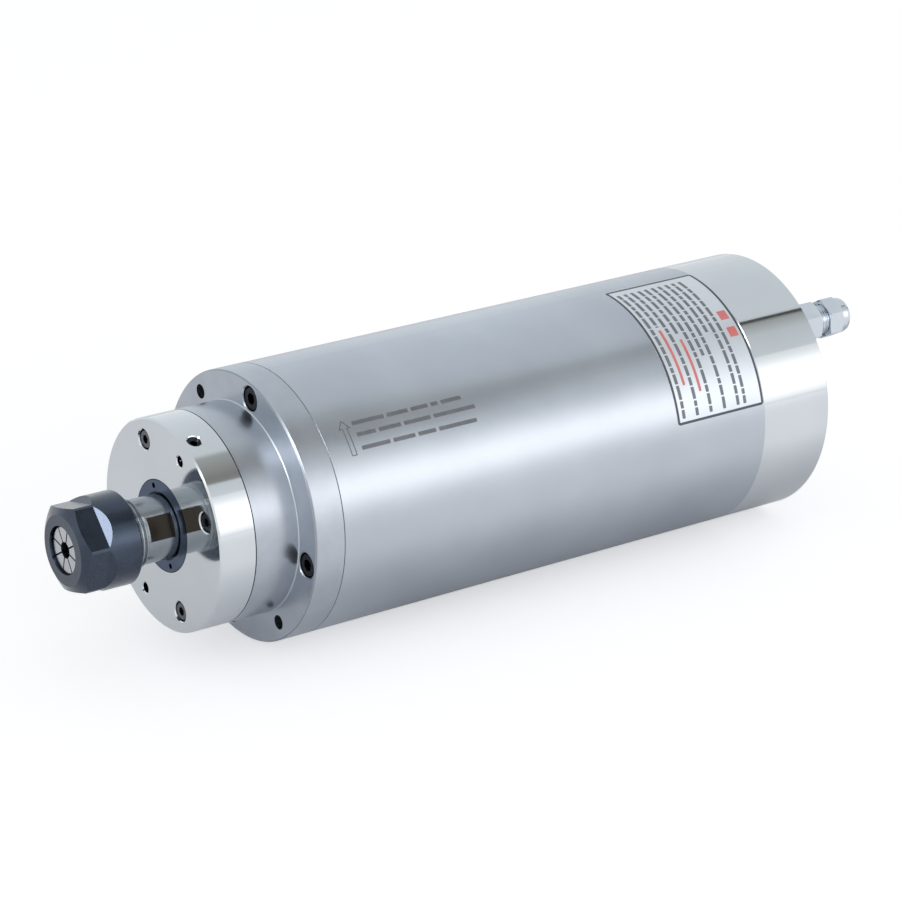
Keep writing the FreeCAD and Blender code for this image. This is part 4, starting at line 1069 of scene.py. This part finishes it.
def white_rays(
    tree: bpy.types.NodeTree, kinds: tuple[Rays, ...] = tuple(Rays)
) -> bpy.types.NodeSocket:
    """Gives 1 for the rays that see the studio's plain white.

    Args:
        tree: the node tree.
        kinds: the kinds of ray.

    Returns:
        The highest of the kinds' outputs.
    """
    path = add_node(tree, "ShaderNodeLightPath")
    highest = path.outputs[kinds[0].value]
    for kind in kinds[1:]:
        highest = add_node(
            tree,
            "ShaderNodeMath",
            links={0: highest, 1: path.outputs[kind.value]},
            operation="MAXIMUM",
        ).outputs[0]
    return highest


@dataclass
class Surround:
    """The world round the spindle: white to the eye, softer as a light."""

    level: float = 0.6

    def build(self) -> None:
        """Builds the world and hands it to the scene."""
        world = bpy.data.worlds.new("studio_surround")
        world.use_nodes = True
        tree = world.node_tree
        tree.nodes.clear()
        level = add_node(
            tree,
            "ShaderNodeMapRange",
            {"To Min": self.level, "To Max": 1.0},
            {"Value": white_rays(tree)},
        )
        light = add_node(
            tree,
            "ShaderNodeBackground",
            {"Color": linear("#ffffff")},
            {"Strength": level.outputs["Result"]},
        )
        add_node(
            tree,
            "ShaderNodeOutputWorld",
            links={"Surface": light.outputs["Background"]},
        )
        bpy.context.scene.world = world


@dataclass
class PaperFloor:
    """The floor of pale paper, which keeps the spindle's shadow.

    To the eye the paper glows evenly, at own_light. The glow that the spindle's steel
    mirrors is painted shade: darker under the body than beside it, and less so in front of
    the nose.
    """

    height: float = -50.2 * MM
    half_side: float = 4.0
    middle: float = 0.1
    cells: int = 8
    paper_colour: str = "#e4e6e9"
    own_light: float = 0.52
    far_light: float = 0.38
    back_light: float = 0.26
    near_light: float = 0.04
    front_light: float = 0.2
    shade_start: float = 60 * MM
    shade_end: float = -20 * MM
    shade_middle: float = 20 * MM
    shade_inside: float = 50 * MM
    shade_outside: float = 130 * MM

    def mirrored_light(self, tree: bpy.types.NodeTree) -> bpy.types.NodeSocket:
        """Gives the glow that the spindle's steel mirrors, with its painted shade under the
        body.

        Args:
            tree: the paper's node tree.

        Returns:
            The light's strength.
        """
        place = add_node(
            tree,
            "ShaderNodeSeparateXYZ",
            links={0: add_node(tree, "ShaderNodeTexCoord").outputs["Object"]},
        )
        across = add_node(
            tree,
            "ShaderNodeMath",
            {1: self.shade_middle},
            {0: place.outputs["Y"]},
            operation="SUBTRACT",
        ).outputs[0]
        distance = add_node(
            tree, "ShaderNodeMath", links={0: across}, operation="ABSOLUTE"
        ).outputs[0]
        near = add_node(
            tree,
            "ShaderNodeMapRange",
            {
                "From Min": self.shade_start,
                "From Max": self.shade_end,
                "To Min": self.near_light,
                "To Max": self.front_light,
            },
            {"Value": place.outputs["X"]},
        ).outputs["Result"]
        far = add_node(
            tree,
            "ShaderNodeMapRange",
            {
                "From Min": -self.shade_outside,
                "From Max": self.shade_outside,
                "To Min": self.far_light,
                "To Max": self.back_light,
            },
            {"Value": place.outputs["Y"]},
        ).outputs["Result"]
        return add_node(
            tree,
            "ShaderNodeMapRange",
            {"From Min": self.shade_inside, "From Max": self.shade_outside},
            {"Value": distance, "To Min": near, "To Max": far},
            interpolation_type="SMOOTHSTEP",
        ).outputs["Result"]

    def paper(self) -> bpy.types.Material:
        """Builds the paper: matt, pale, with a light of its own.

        Returns:
            The new material.
        """
        material, tree = new_material("paper_white_matt")
        matt = add_node(
            tree, "ShaderNodeBsdfDiffuse", {"Color": linear(self.paper_colour)}
        )
        level = add_node(
            tree,
            "ShaderNodeMapRange",
            {"To Max": self.own_light},
            {
                "Value": white_rays(tree, (Rays.CAMERA,)),
                "To Min": self.mirrored_light(tree),
            },
        )
        glow = add_node(
            tree,
            "ShaderNodeEmission",
            {"Color": linear("#ffffff")},
            {"Strength": level.outputs["Result"]},
        )
        both = add_node(
            tree,
            "ShaderNodeAddShader",
            links={0: matt.outputs["BSDF"], 1: glow.outputs["Emission"]},
        )
        add_node(
            tree,
            "ShaderNodeOutputMaterial",
            links={"Surface": both.outputs["Shader"]},
        )
        return material

    def build(self) -> None:
        """Builds the floor."""
        mesh = bmesh.new()
        bmesh.ops.create_grid(
            mesh,
            x_segments=self.cells,
            y_segments=self.cells,
            size=self.half_side,
            matrix=Matrix.Translation((self.middle, 0.0, self.height)),
        )
        data = bpy.data.meshes.new("floor")
        mesh.to_mesh(data)
        mesh.free()
        floor = bpy.data.objects.new("floor", data)
        bpy.context.scene.collection.objects.link(floor)
        data.materials.append(self.paper())


@dataclass
class Softbox:
    """A soft lamp that faces the spindle and fades towards its long edges.

    Attributes:
        name: the lamp's name.
        direction: from the spindle to the lamp.
        size: its length along the spindle's axis, and its width.
        radiance: how bright its middle looks; 1 is white.
        distance: from the spindle's axis.
        shift: how far its middle lies along the axis.
        mirrored_only: whether only mirror-like surfaces catch it.
    """

    name: str
    direction: tuple[float, float, float]
    size: tuple[float, float]
    radiance: float
    distance: float = 1.2
    shift: float = 0.0
    mirrored_only: bool = False

    def build(self) -> None:
        """Builds the lamp and turns it towards the spindle."""
        lamp = bpy.data.lights.new(self.name, "AREA")
        lamp.shape = "RECTANGLE"
        lamp.size, lamp.size_y = self.size
        lamp.energy = self.radiance * math.pi * self.size[0] * self.size[1]
        lamp.use_nodes = True
        tree = lamp.node_tree
        tree.nodes.clear()
        face = add_node(tree, "ShaderNodeNewGeometry").outputs["Parametric"]
        across = add_node(tree, "ShaderNodeSeparateXYZ", links={0: face}).outputs["Y"]
        fade = add_node(tree, "ShaderNodeValToRGB", links={"Fac": across})
        fade.color_ramp.interpolation = "EASE"
        middle = fade.color_ramp.elements.new(0.5)
        middle.color = linear("#ffffff")
        for edge in (0, 2):
            fade.color_ramp.elements[edge].color = linear("#000000")
        glow = add_node(
            tree, "ShaderNodeEmission", {"Strength": 1.0}, {"Color": fade.outputs[0]}
        )
        add_node(
            tree, "ShaderNodeOutputLight", links={"Surface": glow.outputs["Emission"]}
        )
        piece = bpy.data.objects.new(self.name, lamp)
        outward = Vector(self.direction).normalized()
        along = Vector((1.0, 0.0, 0.0))
        across_way = outward.cross(along).normalized()
        along = across_way.cross(outward)
        place = Matrix((along, across_way, outward)).transposed().to_4x4()
        place.translation = outward * self.distance + Vector((self.shift, 0.0, 0.0))
        piece.matrix_world = place
        piece.visible_camera = False
        piece.visible_diffuse = not self.mirrored_only
        bpy.context.scene.collection.objects.link(piece)


@dataclass
class Screen:
    """A lit cloth, bent round the spindle, for its steel to mirror.

    Each stretch has (angle, level) stops, from the far side over the top to the
    camera's side. Level 1 is lit cloth, 0.3 is cloth in the shade, and 0 is a gap.
    """

    name: str
    rows: tuple[tuple[float, Stops], ...]
    distance: float = 1.0
    steps: int = 5
    lit_colour: str = "#f5fbff"
    shade_colour: str = "#979792"
    shade_level: float = 0.3

    def line(self, stops: Stops) -> list[Point]:
        """Gives the stops of one stretch with even steps between them.

        Args:
            stops: the stretch's own stops.

        Returns:
            All (angle, level) points of the line.
        """
        line = []
        for (low, low_level), (high, high_level) in zip(stops, stops[1:]):
            for part in range(self.steps):
                share = part / self.steps
                line.append((
                    low + (high - low) * share,
                    low_level + (high_level - low_level) * share,
                ))
        line.append(stops[-1])
        return line

    def cloth(self) -> bpy.types.Material:
        """Builds the cloth, which takes its level from the mesh's tone.

        Returns:
            The new material.
        """
        material, tree = new_material(f"cloth_lit_{self.name}")
        level = add_node(tree, "ShaderNodeAttribute", attribute_name="tone")
        ramp = add_node(
            tree, "ShaderNodeValToRGB", links={"Fac": level.outputs["Fac"]}
        )
        stops = ramp.color_ramp.elements
        stops[1].color = linear(self.lit_colour)
        stops.new(self.shade_level).color = linear(self.shade_colour)
        glow = add_node(
            tree, "ShaderNodeEmission", {"Strength": 1.0}, {"Color": ramp.outputs["Color"]}
        )
        add_node(
            tree,
            "ShaderNodeOutputMaterial",
            links={"Surface": glow.outputs["Emission"]},
        )
        return material

    def build(self) -> None:
        """Builds the screen, unseen by the camera."""
        mesh = bmesh.new()
        tone = mesh.verts.layers.float.new("tone")
        lines = []
        for along, stops in self.rows:
            points = []
            for angle, level in self.line(stops):
                turn = math.radians(angle)
                point = mesh.verts.new((
                    along, self.distance * math.cos(turn), self.distance * math.sin(turn)
                ))
                point[tone] = level
                points.append(point)
            lines.append(points)
        for line, following in zip(lines, lines[1:]):
            for part in range(len(line) - 1):
                mesh.faces.new((
                    line[part], line[part + 1], following[part + 1], following[part]
                ))
        data = bpy.data.meshes.new(self.name)
        mesh.to_mesh(data)
        mesh.free()
        screen = bpy.data.objects.new(self.name, data)
        bpy.context.scene.collection.objects.link(screen)
        screen.visible_camera = False
        screen.visible_shadow = False
        screen.visible_diffuse = False
        data.materials.append(self.cloth())


# The screen's stretches, named for the part of the spindle that mirrors each.
CAP_STOPS: Stops = (
    (4, 0.96), (62, 0.8), (92, 0.78), (97, 0.44), (121, 0.25), (126, 0.28),
    (127.5, 0.76), (140, 0.82),
)
NOSE_STOPS: Stops = (
    (4, 0.96), (62, 0.8), (92, 0.8), (97, 0.82), (109, 0.9), (121, 0.84),
    (133, 0.78), (140, 0.82),
)
FLANGE_STOPS: Stops = (
    (4, 1.0), (62, 0.9), (100, 0.84), (106, 0.5), (122, 0.25), (130, 0.3),
    (134, 0.8), (142, 0.9),
)
BODY_STOPS: Stops = (
    (4, 1.0), (62, 0.9), (102, 0.86), (107, 0.6), (112, 0.5), (118, 0.6),
    (124, 0.85), (140, 0.9),
)
REAR_CAP_STOPS: Stops = (
    (4, 0.88), (62, 0.8), (105.1, 0.8), (105.5, 0.0), (107.4, 0.03),
    (109.5, 0.42), (121, 0.7), (140, 0.8),
)


@dataclass
class Studio:
    """Plain pale floor, soft lamps and the white surround."""

    surround: Surround = field(default_factory=Surround)
    floor: PaperFloor = field(default_factory=PaperFloor)
    # The long strip beside the camera draws the bright band along the body.
    side_strip: Softbox = field(default_factory=lambda: Softbox(
        "side_strip", (0.0, -0.956, 0.292), (3.0, 1.0), 0.95, shift=0.9
    ))
    # The small strong box on the left brightens the slanted face behind a nut's flat.
    left_box: Softbox = field(default_factory=lambda: Softbox(
        "left_box", (-0.674, -0.300, 0.672), (0.5, 0.5), 12.0, mirrored_only=True
    ))
    # The screen overhead, with the dark gap at its edge beside the strip.
    overhead: Screen = field(default_factory=lambda: Screen(
        "overhead",
        (
            (-1.2, CAP_STOPS), (0.628, CAP_STOPS), (0.634, NOSE_STOPS),
            (0.646, NOSE_STOPS), (0.66, FLANGE_STOPS), (0.685, FLANGE_STOPS),
            (0.75, BODY_STOPS), (0.81, BODY_STOPS), (0.84, REAR_CAP_STOPS),
            (3.0, REAR_CAP_STOPS),
        ),
    ))

    def build(self) -> None:
        """Builds the whole studio."""
        for fitting in (
            self.surround, self.floor, self.side_strip, self.left_box, self.overhead
        ):
            fitting.build()


@dataclass
class PhotoCamera:
    """The camera, at the photograph's angle and distance."""

    place: tuple[float, float, float] = (-0.61093, -0.98433, 0.45754)
    heading: float = 54.4459
    tilt: float = -20.6652
    lens: float = 139.06
    sensor: float = 36.0
    nearest: float = 0.01

    def build(self) -> bpy.types.Object:
        """Builds the camera and makes it the scene's own.

        Returns:
            The camera.
        """
        data = bpy.data.cameras.new("photo_camera")
        data.lens = self.lens
        data.sensor_width = self.sensor
        data.sensor_fit = "HORIZONTAL"
        data.clip_start = self.nearest
        camera = bpy.data.objects.new("photo_camera", data)
        heading, tilt = math.radians(self.heading), math.radians(self.tilt)
        forward = Vector((
            math.cos(tilt) * math.cos(heading),
            math.cos(tilt) * math.sin(heading),
            math.sin(tilt),
        ))
        right = Vector((math.sin(heading), -math.cos(heading), 0.0))
        turn = Matrix((right, right.cross(forward), -forward)).transposed()
        camera.matrix_world = Matrix.Translation(self.place) @ turn.to_4x4()
        bpy.context.scene.collection.objects.link(camera)
        bpy.context.scene.camera = camera
        return camera


def main() -> None:
    """Builds the spindle's looks and its studio in order."""
    logging.basicConfig(level=logging.INFO, format="%(name)s: %(message)s")
    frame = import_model()
    bpy.context.scene.view_settings.view_transform = "Standard"
    PhotoCamera().build()
    LOG.info("camera set")
    Studio().build()
    LOG.info("studio built")
    count = CarriedNodes(frame["nodes"]).dress()
    LOG.info("construction nodes dressed: %d", count)
    surface = BodySurface()
    for maker in (RatingLabel(surface), BodyMarks(surface)):
        for piece in maker.build():
            LOG.info("built %s", piece.name)


if __name__ == "__main__":
    main()
